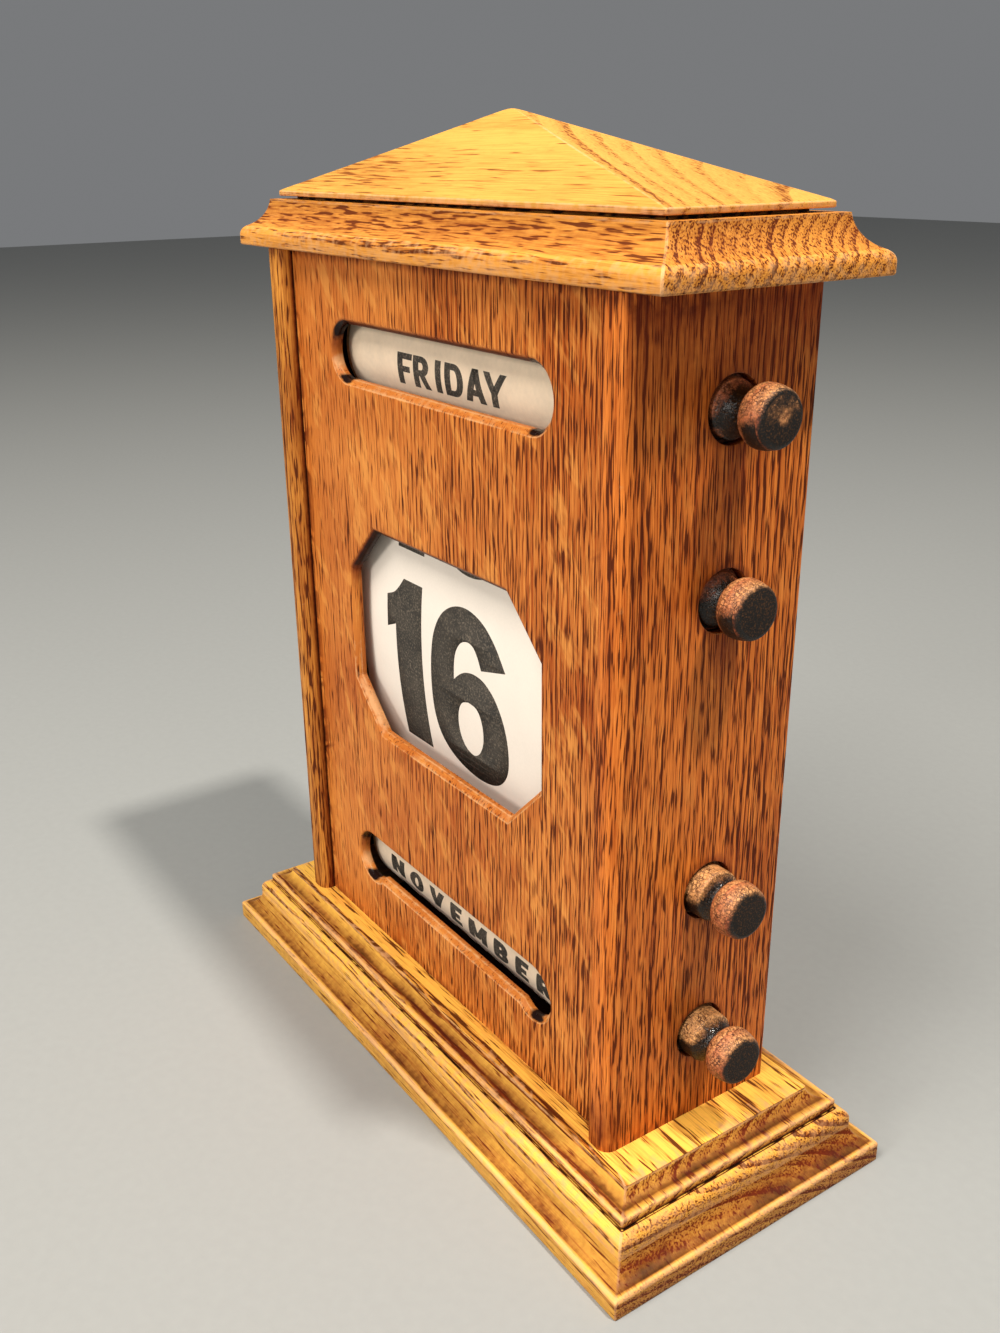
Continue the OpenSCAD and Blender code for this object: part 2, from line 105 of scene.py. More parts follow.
class CalendarColours(bpy.types.PropertyGroup):
    """The colours of the stained oak, the print and the stage"""
    amber_light: colour("Panel oak, light", "Dense wood of the front panel", "#F8A04A")
    amber_dark: colour("Panel oak, dark", "Stained early wood of the front panel", "#A84C12")
    russet_light: colour("Side oak, light", "Dense wood of the side boards", "#F48C38")
    russet_dark: colour("Side oak, dark", "Stained early wood of the side boards", "#983C0A")
    gold_light: colour("Plinth oak, light", "Dense wood of the plinth", "#FFC252")
    gold_dark: colour("Plinth oak, dark", "Stained early wood of the plinth", "#A44E14")
    tawny_light: colour("Cornice oak, light", "Dense wood of the cornice and the left side", "#E89C40")
    tawny_dark: colour("Cornice oak, dark", "Stained early wood of the cornice", "#944E1A")
    honey_light: colour("Roof oak, light", "Dense wood of the roof, bleached by light", "#DCA54C")
    honey_dark: colour("Roof oak, dark", "Early wood of the roof", "#B87A30")
    oak_stain: colour("Oak stain", "Red-brown stain that has soaked in beside the pores", "#8E3A0A")
    # Also laid as painted shade, lighter than the darkest layer, in hollows, gaps and recesses and on
    # the right side board's upper part
    oak_soak_and_shade: colour("Oak soak", "Stain that has gathered in hollows and end grain", "#6A2208")
    oak_pore: colour("Oak pores", "The open pores, filled with dark stain", "#3E0E00")
    oak_ray: colour("Oak rays", "The pale lustrous flecks of the rays", "#F0A550")
    # Also the colour of painted highlights on the lower edges of the openings and of a painted
    # reflection on their lit lower bevels
    worn_and_highlight: colour("Worn arris", "Edges rubbed through the stain to paler wood", "#E8B079")
    # Also painted as shade: in the gaps beside the front panel, on the openings' upper walls, in the
    # board joints and in the roof's shadow gap
    grime_and_shade: colour("Grime", "Old wax and dust that stay in the corners", "#180804")
    # Also painted as shade on the upper walls of the drilled slot ends and on the board faces inside the
    # case
    scorch_and_shade: colour("Scorch", "Wood burnt dark by the drill at the round ends", "#1E0E0A")
    knob_red: colour("Knob, red", "Turned wood with a reddish polish", "#B8623C")
    # Also painted as highlight on the upper side of each knob's head and rim
    knob_gold_and_highlight: colour("Knob, gold", "Turned wood where the polish has gone", "#E4A868")
    knob_crack: colour("Knob, cracks", "Dark wax in the crazed polish", "#42180A")
    # Also painted as shade on the lower side of each knob
    knob_black_and_shade: colour("Knob, black", "Black polish on the necks and faces", "#0E0703")
    knob_fleck: colour("Knob, flecks", "Dusty flecks in the black", "#6E4622")
    drum_wood: colour("Drum wood", "Bare light wood of the drums and blocks", "#C39A66")
    linen: colour("Linen", "Aged linen of the drum bands", "#F2DABC")
    paper: colour("Paper", "Aged paper of the number strip", "#F4E8DA")
    ink: colour("Ink", "Faded black printing ink", "#232424")
    brass: colour("Brass", "Aged brass of the screws", "#A88442")
    floor: colour("Floor", "Pale studio floor", "#9A9B98")


# ---------------------------------------------------------------- meshes

# The values painted on each point: rubbing with painted highlight, dirt with painted shade, black burns
# and polish with painted shade, gold polish with painted highlight, and how plain the figure is
PAINTS = ("wear_and_highlight", "grime_and_shade", "black", "gold", "plain")


def surface(name, patches, sharp=32):
    """Makes one closed mesh from patches: grids of points, whose rows and columns become quads, and
    outlines of flat faces. The seams between patches are merged and all faces are turned outwards.
    Each patch has a dictionary of paints, values from 0 to 1 kept as attributes of its points."""
    places, faces, start = [], [], 0
    paints = {key: [] for key in PAINTS}
    for grid, paint in patches:
        shape = grid.shape[:-1]
        number = start + np.arange(math.prod(shape)).reshape(shape)
        if len(shape) == 2:
            corners = [number[:-1, :-1], number[:-1, 1:], number[1:, 1:], number[1:, :-1]]
            faces.extend(np.stack(corners, -1).reshape(-1, 4).tolist())
        else:
            faces.append(number.tolist())
        places.append(grid.reshape(-1, 3))
        for key in PAINTS:
            paints[key].append(np.broadcast_to(paint.get(key, 0.0), shape).ravel())
        start += number.size
    mesh = bpy.data.meshes.new(name)
    mesh.from_pydata(np.concatenate(places), [], faces)
    for key in PAINTS:
        values = np.concatenate(paints[key]).astype(np.float32)
        mesh.attributes.new(key, "FLOAT", "POINT").data.foreach_set("value", values)
    shell = bmesh.new()
    shell.from_mesh(mesh)
    bmesh.ops.remove_doubles(shell, verts=shell.verts, dist=0.002 * MM)
    bmesh.ops.dissolve_degenerate(shell, dist=0.001 * MM, edges=shell.edges)
    bmesh.ops.recalc_face_normals(shell, faces=shell.faces)
    shell.to_mesh(mesh)
    shell.free()
    return finished(name, mesh, sharp)


def placed(name, data, matrix=None):
    """Puts a mesh, a lamp or a camera into the scene as an object."""
    item = bpy.data.objects.new(name, data)
    if matrix:
        item.matrix_world = matrix
    bpy.context.scene.collection.objects.link(item)
    return item


def finished(name, mesh, sharp=32):
    """Gives a mesh smooth faces with sharp edges above an angle, and an object of its name."""
    mesh.shade_smooth()
    mesh.set_sharp_from_angle(angle=math.radians(sharp))
    return placed(name, mesh)


def coat(piece, material):
    """Gives an object one material."""
    piece.data.materials.clear()
    piece.data.materials.append(material)


def dress(piece, material, body, slot, *nodes):
    """Gives a piece its material, the body it rides on and the nodes it stands for."""
    coat(piece, material)
    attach(piece, body)
    if nodes:
        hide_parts(*nodes)


def slab(front, back):
    """Closes the space between two grids of the same shape: the grids and their four edges."""
    pair = np.stack([front, back])
    edges = [pair[:, 0], pair[:, -1], pair[:, :, 0], pair[:, :, -1]]
    return [(grid, {}) for grid in [front, back] + edges]


def points(*places):
    """Points from their places along each axis, which are stretched over each other."""
    return np.stack(np.broadcast_arrays(*places), -1)


def raised(flat, height):
    """Flat points lifted to a height."""
    return points(flat[..., 0], flat[..., 1], height)


def outward(walk):
    """The unit vectors from the origin to the points of a walk."""
    return walk / np.linalg.norm(walk, axis=1)[:, None]


def spread(low, high):
    """Half the size and the middle of a box, seen from above."""
    low, high = np.array(low)[:2], np.array(high)[:2]
    return (high - low) / 2, (high + low) / 2


def unit(values):
    """Keeps values from 0 to 1."""
    return np.clip(values, 0, 1)


def near(distance, width):
    """Falls from 1 at no distance to 0 at the width."""
    return unit(1 - distance / width)


def wrapped(along, radius, angle, centre):
    """Points round an axis along X, at a radius and an angle about the centre, which is a place
    along Y and along Z. At no angle they lie in front of it."""
    return points(along, centre[0] - radius * np.cos(angle), centre[1] + radius * np.sin(angle))


def turned(profile, centre, steps):
    """Turns a profile about an axis along X: each of its points, a place along X and a radius,
    goes round a circle about the centre."""
    along, radius = np.asarray(profile).T[:, :, None]
    return wrapped(along, radius, np.linspace(0, 2 * np.pi, steps + 1), centre)


def arc(centre, radius, start, stop, steps):
    """Points on a circle, from one angle to another in degrees."""
    angle = np.radians(np.linspace(start, stop, steps + 1))
    return points(centre[0] + radius * np.cos(angle), centre[1] + radius * np.sin(angle))


def ripple(places, wave, seed):
    """A slow unevenness from 0 to 1 over places: the mean of six plane sine waves of about the
    given wavelength, with directions and phases drawn from the seed."""
    draw = np.random.default_rng(seed)
    total = np.zeros(places.shape[:-1])
    for _ in range(6):
        direction = draw.normal(size=3)
        direction *= draw.uniform(0.6, 1.6) / np.linalg.norm(direction)
        total += np.sin(places @ direction * 2 * np.pi / wave + draw.uniform(0, 2 * np.pi))
    return 0.5 + total / 12


def reel_box(node):
    """A reel node's lowest and highest corners, its axis along Y and Z, and its radius."""
    low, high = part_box(node)
    return low, high, ((low.y + high.y) / 2, (low.z + high.z) / 2), (high.z - low.z) / 2


# ---------------------------------------------------------------- materials

def feed(node, *inputs, **named):
    """Gives a node its settings, whose names are in small letters, and its inputs, in the order of
    its sockets or by name. An input is a value, a socket, or a node, which stands for its first."""
    for key in [key for key in named if key.islower()]:
        setattr(node, key, named.pop(key))
    for key, value in [*enumerate(inputs), *named.items()]:
        socket = node.inputs[key.replace("_", " ") if isinstance(key, str) else key]
        if isinstance(value, bpy.types.Node):
            value = value.outputs[0]
        if isinstance(value, bpy.types.NodeSocket):
            node.id_data.links.new(value, socket)
        else:
            socket.default_value = value


def add_node(tree, kind, *inputs, **named):
    """Adds a node to a tree. Its kind may end in a dot and its operation."""
    kind, _, operation = kind.partition(".")
    node = tree.nodes.new("ShaderNode" + kind)
    if operation:
        node.operation = operation
    feed(node, *inputs, **named)
    return node


def new_material(name, **finish):
    """A material with one shader, which takes the constants of its finish on its own sockets, and
    the function that adds nodes to it."""
    material = bpy.data.materials.new(name)
    material.use_nodes = True
    shader = material.node_tree.nodes["Principled BSDF"]
    feed(shader, **finish)
    return material, functools.partial(add_node, material.node_tree), shader


def hue(name):
    """One of the calendar's colours, as a colour socket takes it."""
    return (*getattr(bpy.context.scene.calendar_colours, name), 1.0)


def mottled(add, place, level, *clouds):
    """A brightness: a level plus clouds of noise, each with its scale, detail and weight. Returns
    it with the last cloud."""
    for scale, detail, weight in clouds:
        cloud = add("TexNoise", place, Scale=scale, Detail=detail).outputs[0]
        level = add("Math.MULTIPLY_ADD", cloud, weight, level)
    return level, cloud


# Turns object coordinates so that the fibres of a board run along the third axis
GRAIN_TURN = {"z": (0, 0, 0), "x": (0, -math.pi / 2, 0), "y": (math.pi / 2, 0, 0)}
# The early wood's share at the start of a year's ring, and then through it
EARLY_START, EARLY_WOOD = 0.5, ((0.12, 1.0), (0.5, 0.3), (0.75, 0.0))


def oak(name, stock, grain="z", pith=(-140, 30), ring=2.0, tone=0.5, dash=0.85, dash_size=(0.46, 8),
        uneven=0.3, flake=0.4, dense=0.0, band=0.17, reach=None, thirst=0.0, shift=0):
    """Stained and waxed oak as a solid pattern, so that faces along, across and at a slant to the
    fibres each cut it truly. To the eye it gives growth rings of a real width in mm about a pith
    outside the board, dark dashes where the stain fills the open pores of each ring's early wood,
    pale ray flecks that break the dashes where a face lies along the rays, fine fibre streaks,
    arrises paled by rubbing and painted lighter as highlight, hollows, gaps and recesses darkened
    by dirt and by painted shade, and black marks that are partly drill burns and partly painted
    shade. dash_size is a dash's width and length in mm, dense raises their number, band gathers
    them in the rings' early wood, reach is the distance from the pith to the board, and thirst is
    how much more stain its end grain took."""
    material, add, shader = new_material(name, IOR=1.5, Specular_IOR_Level=0.14)
    plain, wear_and_highlight, grime_and_shade, black = (add("Attribute", attribute_name=key).outputs["Fac"]
                                 for key in ("plain", "wear_and_highlight", "grime_and_shade", "black"))
    place = add("TexCoord")
    local = add("Mapping", place.outputs["Object"], Scale=(1 / MM,) * 3, Rotation=GRAIN_TURN[grain],
                Location=(-pith[0], -pith[1], shift))
    facing = add("SeparateXYZ", place.outputs["Normal"]).outputs[grain.upper()]
    end = add("MapRange", add("Math.ABSOLUTE", facing), 0.3, 0.8, 0, thirst)
    # The fibres wander by up to 2.5 mm, over 42 mm across the grain and 150 mm along it
    slow = add("VectorMath.MULTIPLY", local, (1 / 42, 1 / 42, 1 / 150))
    drift = add("TexNoise", slow, Scale=1, Detail=3, Roughness=0.36).outputs["Color"]
    centred = add("VectorMath.SUBTRACT", drift, (0.5, 0.5, 0.5))
    wood = add("VectorMath.ADD", local, add("VectorMath.MULTIPLY", centred, (5, 5, 0)))
    axes = add("SeparateXYZ", wood)
    # Rings: each year's early wood, stronger in some years, damped where the board is plain
    radius = add("VectorMath.LENGTH", add("VectorMath.MULTIPLY", wood, (1, 1, 0))).outputs["Value"]
    count = add("Math.DIVIDE", radius, ring)
    vigour = add("TexWhiteNoise", W=add("Math.FLOOR", count), noise_dimensions="1D").outputs["Value"]
    early = add("ValToRGB", add("Math.FRACT", count))
    stops = early.color_ramp.elements
    stops.remove(stops[-1])
    stops[0].color = (EARLY_START,) * 3 + (1,)
    for season, value in EARLY_WOOD:
        stops.new(season).color = (value,) * 3 + (1,)
    lively = add("Math.MULTIPLY_ADD", plain, -0.55, 1.0, use_clamp=True)
    pored_year = add("Math.MULTIPLY", early, add("Math.MULTIPLY_ADD", vigour, 0.9, 0.3))
    porous = add("Math.MULTIPLY", pored_year, lively)
    # Rays: sheets 1 mm thick that run out from the pith, seen as flecks on a face along them
    bearing = add("Math.ARCTAN2", axes.outputs["Y"], axes.outputs["X"])
    aside = add("Math.MULTIPLY", bearing, reach or math.hypot(*pith))
    slant = add("Math.MULTIPLY_ADD", radius, 1.1, axes.outputs["Z"])
    sheets = add("VectorMath.MULTIPLY", add("CombineXYZ", aside, radius, slant), (1, 1 / 11, 1 / 9))
    sheet = add("TexNoise", sheets, Scale=1, Detail=3, Roughness=0.6)
    rays = add("MapRange", sheet, 0.54, 0.66, 0, flake)
    # Dashes: the stain in the pores, more of it in the early wood and in some parts of the board
    polar = add("CombineXYZ", radius, aside, axes.outputs["Z"])
    width, run = dash_size
    cells = add("VectorMath.MULTIPLY", polar, (1 / width, 0.7 / width, 1 / run))
    cell = add("TexNoise", cells, Scale=1, Detail=1, Roughness=0.4)
    cloud = add("TexNoise", local, Scale=1 / 40, Detail=2)
    pores = add("Math.MULTIPLY_ADD", cloud, 0.3 * uneven, dense - 0.15 * uneven - 0.4 * (band - 0.17))
    for source, weight in ((porous, band), (cell, 1.0), (plain, -0.06), (rays, -0.16), (end, 0.11)):
        pores = add("Math.MULTIPLY_ADD", source, weight, pores)
    halo = add("MapRange", pores, 0.5, 0.62, 0, 0.6)
    dashes = add("MapRange", pores, 0.585, 0.645, 0, dash)
    # Light to dark wood by ring, by fibres 0.4 mm thick, by cloud and by end grain
    strands = add("VectorMath.MULTIPLY", wood, (1 / 0.4, 1 / 0.4, 1 / 22))
    fibre = add("TexNoise", strands, Scale=1, Detail=4, Roughness=0.65)
    fibrous = add("Math.MULTIPLY", add("Math.ADD", fibre, -0.5), lively)
    streak = add("Math.MULTIPLY_ADD", fibrous, 2.3, tone)
    ringed = add("Math.MULTIPLY_ADD", porous, 2.4 * band - 0.06, streak)
    soaked = add("Math.MULTIPLY_ADD", end, 0.42, add("Math.MULTIPLY_ADD", cloud, 0.9, -0.52))
    shade = add("Math.ADD", ringed, soaked, use_clamp=True)
    shown = add("MixRGB", shade, hue(stock + "_light"), hue(stock + "_dark"))
    # Over it: rays, stain, rubbing and painted highlight, dirt and painted shade, and burns and painted
    # shade, whose edges a patchy cloud breaks up
    patchy = add("TexNoise", local, Scale=1 / 2.2, Detail=4)
    worn_and_highlight = add("Math.ADD", wear_and_highlight, patchy)
    dirt_and_shade = add("Math.MULTIPLY_ADD", patchy, 0.35, grime_and_shade)
    scorch_and_shade_share = add("MapRange", add("Math.MULTIPLY_ADD", patchy, 0.5, black), 0.6, 1.0)
    for share, layer in ((rays, "oak_ray"), (halo, "oak_stain"), (dashes, "oak_pore"),
                         (add("MapRange", worn_and_highlight, 0.85, 1.25, 0, 0.7), "worn_and_highlight"),
                         (add("MapRange", dirt_and_shade, 0.2, 0.85, 0, 0.85), "oak_soak_and_shade"),
                         (add("MapRange", dirt_and_shade, 0.75, 1.1, 0, 0.95), "grime_and_shade"), (scorch_and_shade_share, "scorch_and_shade")):
        shown = add("MixRGB", share, shown, hue(layer))
    gloss = add("Math.MULTIPLY_ADD", scorch_and_shade_share, -0.2, add("Math.MULTIPLY_ADD", dashes, 0.25, 0.42))
    height = add("Math.MULTIPLY_ADD", dashes, -1.0, add("Math.MULTIPLY", fibre, 0.5))
    bump = add("Bump", Height=height, Distance=0.1 * MM, Strength=0.6)
    feed(shader, Base_Color=shown, Roughness=gloss, Normal=bump)
    return material


def turned_polish(name):
    """Turned hardwood, stained and polished long ago: fine pores along the axis, crazed polish with
    dark wax in its cracks, black on the necks and faces with dusty flecks, and a soft shine."""
    material, add, shader = new_material(name, IOR=1.5, Specular_IOR_Level=0.36)
    # The black values also hold painted shade on the knobs' lower sides, and the gold values a painted
    # highlight on their upper sides
    golden, dust, black, wear_and_highlight = (add("Attribute", attribute_name=key).outputs["Fac"]
                                 for key in ("gold", "plain", "black", "wear_and_highlight"))
    local = add("VectorMath.MULTIPLY", add("TexCoord").outputs["Object"], (1 / MM,) * 3)
    strands = add("VectorMath.MULTIPLY", local, (1 / 3, 1 / 0.4, 1 / 0.4))
    speckle = add("TexNoise", local, Scale=1 / 0.45, Detail=3)
    patchy = add("TexNoise", local, Scale=1 / 2.6, Detail=5, Roughness=0.7)
    # Dark lines: pores 0.4 mm wide, blotches of wax, and cracks round cells 0.95 mm wide
    fibre = add("TexNoise", strands, Scale=1, Detail=3, Roughness=0.6)
    mottle = add("TexNoise", local, Scale=1 / 0.8, Detail=4, Roughness=0.7)
    waxed = add("Math.MAXIMUM", add("MapRange", fibre, 0.54, 0.66, 0, 0.6),
                add("MapRange", mottle, 0.49, 0.6, 0, 0.8))
    bent = add("VectorMath.ADD", add("TexNoise", local, Scale=1.1).outputs["Color"], local)
    cells = add("TexVoronoi", bent, Scale=1 / 0.95, feature="DISTANCE_TO_EDGE")
    cracks = add("Math.MULTIPLY", add("MapRange", cells, 0.16, 0.04, 0, 0.95),
                 add("MapRange", patchy, 0.36, 0.56))
    dark = add("Math.MAXIMUM", waxed, cracks)
    gold = add("Math.ADD", add("Math.MULTIPLY_ADD", patchy, 0.9, -0.45), golden, use_clamp=True)
    clear = add("MixRGB", gold, hue("knob_red"), hue("knob_gold_and_highlight"))
    lined = add("MixRGB", dark, clear, hue("knob_crack"))
    flecks = add("MapRange", add("Math.MULTIPLY_ADD", dust, 0.05, speckle), 0.55, 0.73, 0, 0.5)
    dusty = add("MixRGB", flecks, hue("knob_black_and_shade"), hue("knob_fleck"))
    grainy = add("Math.MULTIPLY_ADD", speckle, 0.5, black)
    reach = add("MapRange", add("Math.MULTIPLY_ADD", patchy, 0.5, grainy), 0.85, 1.2)
    rough = add("Math.MULTIPLY_ADD", wear_and_highlight, 0.7, add("Math.MULTIPLY_ADD", speckle, 0.3, -0.01))
    raised = add("Math.MULTIPLY_ADD", dark, -1.0, speckle)
    feed(shader, Base_Color=add("MixRGB", reach, lined, dusty), Roughness=rough,
         Normal=add("Bump", Height=raised, Distance=0.12 * MM, Strength=0.6))
    return material


def linen_cloth(name, node):
    """Plain-woven linen glued round a drum, yellowed by age: threads drawn 0.5 mm apart, coarser
    than the real 0.3 mm so that they show, and a soft mottle."""
    material, add, shader = new_material(name, Roughness=0.85, Sheen_Weight=0.15)
    low, high, _, radius = reel_box(node)
    place = add("TexCoord").outputs["Object"]
    axes = add("SeparateXYZ", add("VectorMath.SUBTRACT", place, tuple((low + high) / 2)))
    angle = add("Math.ARCTAN2", axes.outputs["Z"], axes.outputs["Y"])
    thread = 2 * math.pi / (0.5 * MM)
    warp, weft = (add("Math.SINE", add("Math.MULTIPLY", along, rate)) for along, rate in
                  ((axes.outputs["X"], thread), (angle, float(round(radius * thread)))))
    weave = add("Math.MULTIPLY", warp, weft)
    woven = add("Math.MULTIPLY_ADD", weave, 0.035, 0.76)
    value, _ = mottled(add, place, woven, (700, 2, 0.16), (90, 4, 0.3))
    feed(shader, Base_Color=add("HueSaturation", Value=value, Color=hue("linen")),
         Normal=add("Bump", Height=weave, Distance=0.04 * MM, Strength=0.5))
    return material


def aged_paper(name):
    """Stiff printed paper, cream with age: a faint fibre cloud and a soft, almost matt face."""
    material, add, shader = new_material(name, Roughness=0.75, Specular_IOR_Level=0.3)
    place = add("TexCoord").outputs["Object"]
    value, grit = mottled(add, place, 0.9, (60, 5, 0.14), (1400, 2, 0.07))
    feed(shader, Base_Color=add("HueSaturation", Value=value, Color=hue("paper")),
         Normal=add("Bump", Height=grit, Distance=0.02 * MM, Strength=0.4))
    return material


def printing_ink(name):
    """Faded letterpress ink: near black, thinner in specks where the ground shows through."""
    material, add, shader = new_material(name, Roughness=0.75, Specular_IOR_Level=0.2)
    place = add("TexCoord").outputs["Object"]
    specks = add("TexNoise", place, Scale=1500, Detail=3, Roughness=0.7)
    thin = add("MapRange", specks, 0.5, 0.75, 0, 0.2)
    faded, _ = mottled(add, place, thin, (140, 3, 0.08))
    feed(shader, Base_Color=add("MixRGB", faded, hue("ink"), hue("linen")))
    return material


def bare_wood(name, grain):
    """Bare light wood of the hidden drums and blocks: straight fibres, yellowed, never polished."""
    material, add, shader = new_material(name, Roughness=0.7)
    local = add("Mapping", add("TexCoord").outputs["Object"], Scale=(1 / MM,) * 3,
                Rotation=GRAIN_TURN[grain])
    strands = add("VectorMath.MULTIPLY", local, (1 / 0.9, 1 / 0.9, 1 / 30))
    fibre = add("TexNoise", strands, Scale=1, Detail=4, Roughness=0.6)
    bands = add("TexWave", local, Scale=0.18, Distortion=4, Detail=2).outputs["Fac"]
    mixed = add("Math.MULTIPLY_ADD", fibre, 0.5, add("Math.MULTIPLY", bands, 0.25))
    value = add("Math.MULTIPLY_ADD", mixed, 0.7, 0.65)
    feed(shader, Base_Color=add("HueSaturation", Value=value, Color=hue("drum_wood")),
         Normal=add("Bump", Height=fibre, Distance=0.1 * MM, Strength=0.5))
    return material


def aged_brass(name):
    """Brass screws, dulled brown by age: brighter where a screwdriver has rubbed them."""
    material, add, shader = new_material(name, Metallic=1.0)
    value, tarnish = mottled(add, add("TexCoord").outputs["Object"], 0.25, (900, 5, 1.2))
    feed(shader, Base_Color=add("HueSaturation", Value=value, Color=hue("brass")),
         Roughness=add("Math.MULTIPLY_ADD", tarnish, 0.5, 0.15))
    return material


def studio_floor(name):
    """Pale matt studio floor with a barely visible grain."""
    material, add, shader = new_material(name, Roughness=0.8)
    value, _ = mottled(add, add("TexCoord").outputs["Object"], 0.96, (300, 3, 0.08))
    feed(shader, Base_Color=add("HueSaturation", Value=value, Color=hue("floor")))
    return material


# ---------------------------------------------------------------- moulded boards

def walk_round(steps_x, steps_y, corner_steps=4):
    """Walks once round a rectangle from its front left corner. Returns each stop's place on the
    core rectangle, from -1 to 1 each way, its outward normal, and 1 where it lies on one of the
    quarter rounds at the corners, otherwise 0."""
    quarter = np.linspace(0, np.pi / 2, corner_steps + 1)[1:]
    core, normal = [], []
    for side, steps in enumerate((steps_x, steps_y) * 2):
        turn = np.linalg.matrix_power(np.array([[0, 1], [-1, 0]]), side)
        along = np.concatenate([np.linspace(-1, 1, steps + 1), np.ones(corner_steps)])
        bend = np.concatenate([np.zeros(steps + 1), quarter])
        core.append(points(along, -1.0) @ turn)
        normal.append(points(np.sin(bend), -np.cos(bend)) @ turn)
    normal = np.concatenate(normal)
    return np.concatenate(core), normal, (np.abs(normal).min(1) > 0.01) * 1.0


def moulded(low, high, profile, corner_r, seed, inside=None, right_end_darkening=0.0, screws=(), screw_d=0.0):
    """A board with a moulding on all four edges. A point of the profile is its inset from the
    board's widest outline and its height, with its rubbing and its darkening, which is dirt and
    painted shade in the hollows, the joints and the foot; each goes round a rectangle of that
    inset, with small quarter rounds where the mouldings meet. inside is the end of the profile
    whose face closes the case: it is painted black there as shade. soiled is how much darker the
    right end is made. screws are the places of the countersunk screws in the underside."""
    core, normal, corner = walk_round(90, 44)
    half, middle = spread(low, high)
    (inset, height), worn_and_highlight, dirt_and_shade = profile[0].T, *profile[1:]
    reach = half - inset[:, None, None] - corner_r
    grid = raised(middle + core * reach + normal * corner_r, low.z + height[:, None])
    uneven = ripple(grid, 45 * MM, seed)
    grid[..., :2] -= normal * (0.12 * MM * uneven[..., None])
    wear_and_highlight = unit(worn_and_highlight[:, None] * (0.65 + 0.5 * uneven) + 0.5 * corner)
    # Dirt and painted shade from the profile, and a darker right end
    darkening = dirt_and_shade[:, None] + right_end_darkening * unit(normal[:, 0])
    grime_and_shade = unit(darkening * (0.6 + 0.6 * ripple(grid, 30 * MM, seed + 1)))
    patches = [(grid, {"wear_and_highlight": wear_and_highlight, "grime_and_shade": grime_and_shade})]
    if screws:
        patches += countersunk_foot(grid[0], core, half - 3 * MM, middle, low.z, screws, screw_d)
    for end in (-1,) if screws else (0, -1):
        centre = points(*middle, low.z + height[end])
        rings = [share * grid[end] + (1 - share) * centre for share in (1, 0.9, 0.7, 0.66, 0)]
        # The face inside the case is painted black as shade
        dark = np.array([0, 0, 0, 1, 1])[:, None] * (end == inside)
        patches.append((np.stack(rings), {"black": dark}))
    return patches


def countersunk_foot(outline, core, half, middle, level, screws, screw_d):
    """The underside of a board with a countersunk hole in each quarter. A band leads from the
    outline to a rectangle with the same stops. Each quarter of that is a rectangle round its hole,
    whose rows shrink to the circle, go up the cone for the screw's head and close it inside."""
    patches = [(np.stack([outline, raised(middle + core * half, level)]), {})]
    marks = [np.unique(np.round(core[:, axis], 9)) for axis in (0, 1)]
    head, shank = screw_d + 0.15 * MM, screw_d / 2 + 0.15 * MM
    for screw in screws:
        spans = [middle[i] + half[i] * marks[i][marks[i] * (screw[i] - middle[i]) >= 0] - screw[i]
                 for i in (0, 1)]
        walk = rectangle_walk(*spans, *spans)
        away = outward(walk)
        rows = [(walk + share * (away * head - walk), 0.0) for share in np.linspace(0, 1, 7)]
        rows += [(away * shank, screw_d / 2), (away * shank, screw_d), (0 * away, screw_d)]
        patches.append((np.stack([raised(screw + flat, level + rise) for flat, rise in rows]), {}))
    return patches


def lower_profile(rise):
    """Lip, hollow, round and quirk of the lower plinth board, from its foot up."""
    lip, lip_r, hollow_r, round_r = 6.2 * MM, 0.9 * MM, 5.2 * MM, 3 * MM
    hollow, round_c = (0.9 * MM, 11.4 * MM), (9.1 * MM, rise - round_r)
    edge = [[0.0, 0.3 * MM], [0.0, 1.5 * MM], [0.0, 3 * MM], [0.0, lip - 1.6 * MM]]
    # Each run's second value is its rubbing, its third its dirt and painted shade: dark in the hollow,
    # at the foot and in the joint with the upper board
    return joined(([[0.15 * MM, 0.0]], 0.4, 0.5), (edge, 0.2, 0.3),
                  (arc((lip_r, lip - lip_r), lip_r, 180, 90, 6), 0.75, 0.0),
                  (arc(hollow, hollow_r, -80, -8, 12), 0.1, np.linspace(0.72, 0.35, 13)),
                  (arc(hollow, hollow_r, -4, 0, 2), 0.7, 0.1),
                  (arc(round_c, round_r, 180, 96, 9), 0.5, 0.05),
                  (arc(round_c, round_r, 92, 90, 1), 0.2, 0.9),
                  ([[round_c[0] + 0.2 * MM, rise]], 0.0, 1.0))


def upper_profile(rise):
    """Soft edge, ledge and hollow of the upper plinth board."""
    soft, hollow_r = 0.6 * MM, 3.4 * MM
    ledge, hollow = rise - hollow_r, (2.6 * MM, rise)
    # Each run's second value is its rubbing, its third its dirt and painted shade: dark at the joint
    # with the lower board and in the hollow
    return joined((arc((soft, soft), soft, 270, 180, 4), 0.1, 0.9), ([[0.0, ledge / 2]], 0.2, 0.1),
                  (arc((soft, ledge - soft), soft, 180, 90, 5), 0.8, 0.0),
                  (arc(hollow, hollow_r, -88, -20, 10), 0.1, np.linspace(0.75, 0.25, 11)),
                  (arc(hollow, hollow_r, -12, 0, 3), 0.75, 0.0))


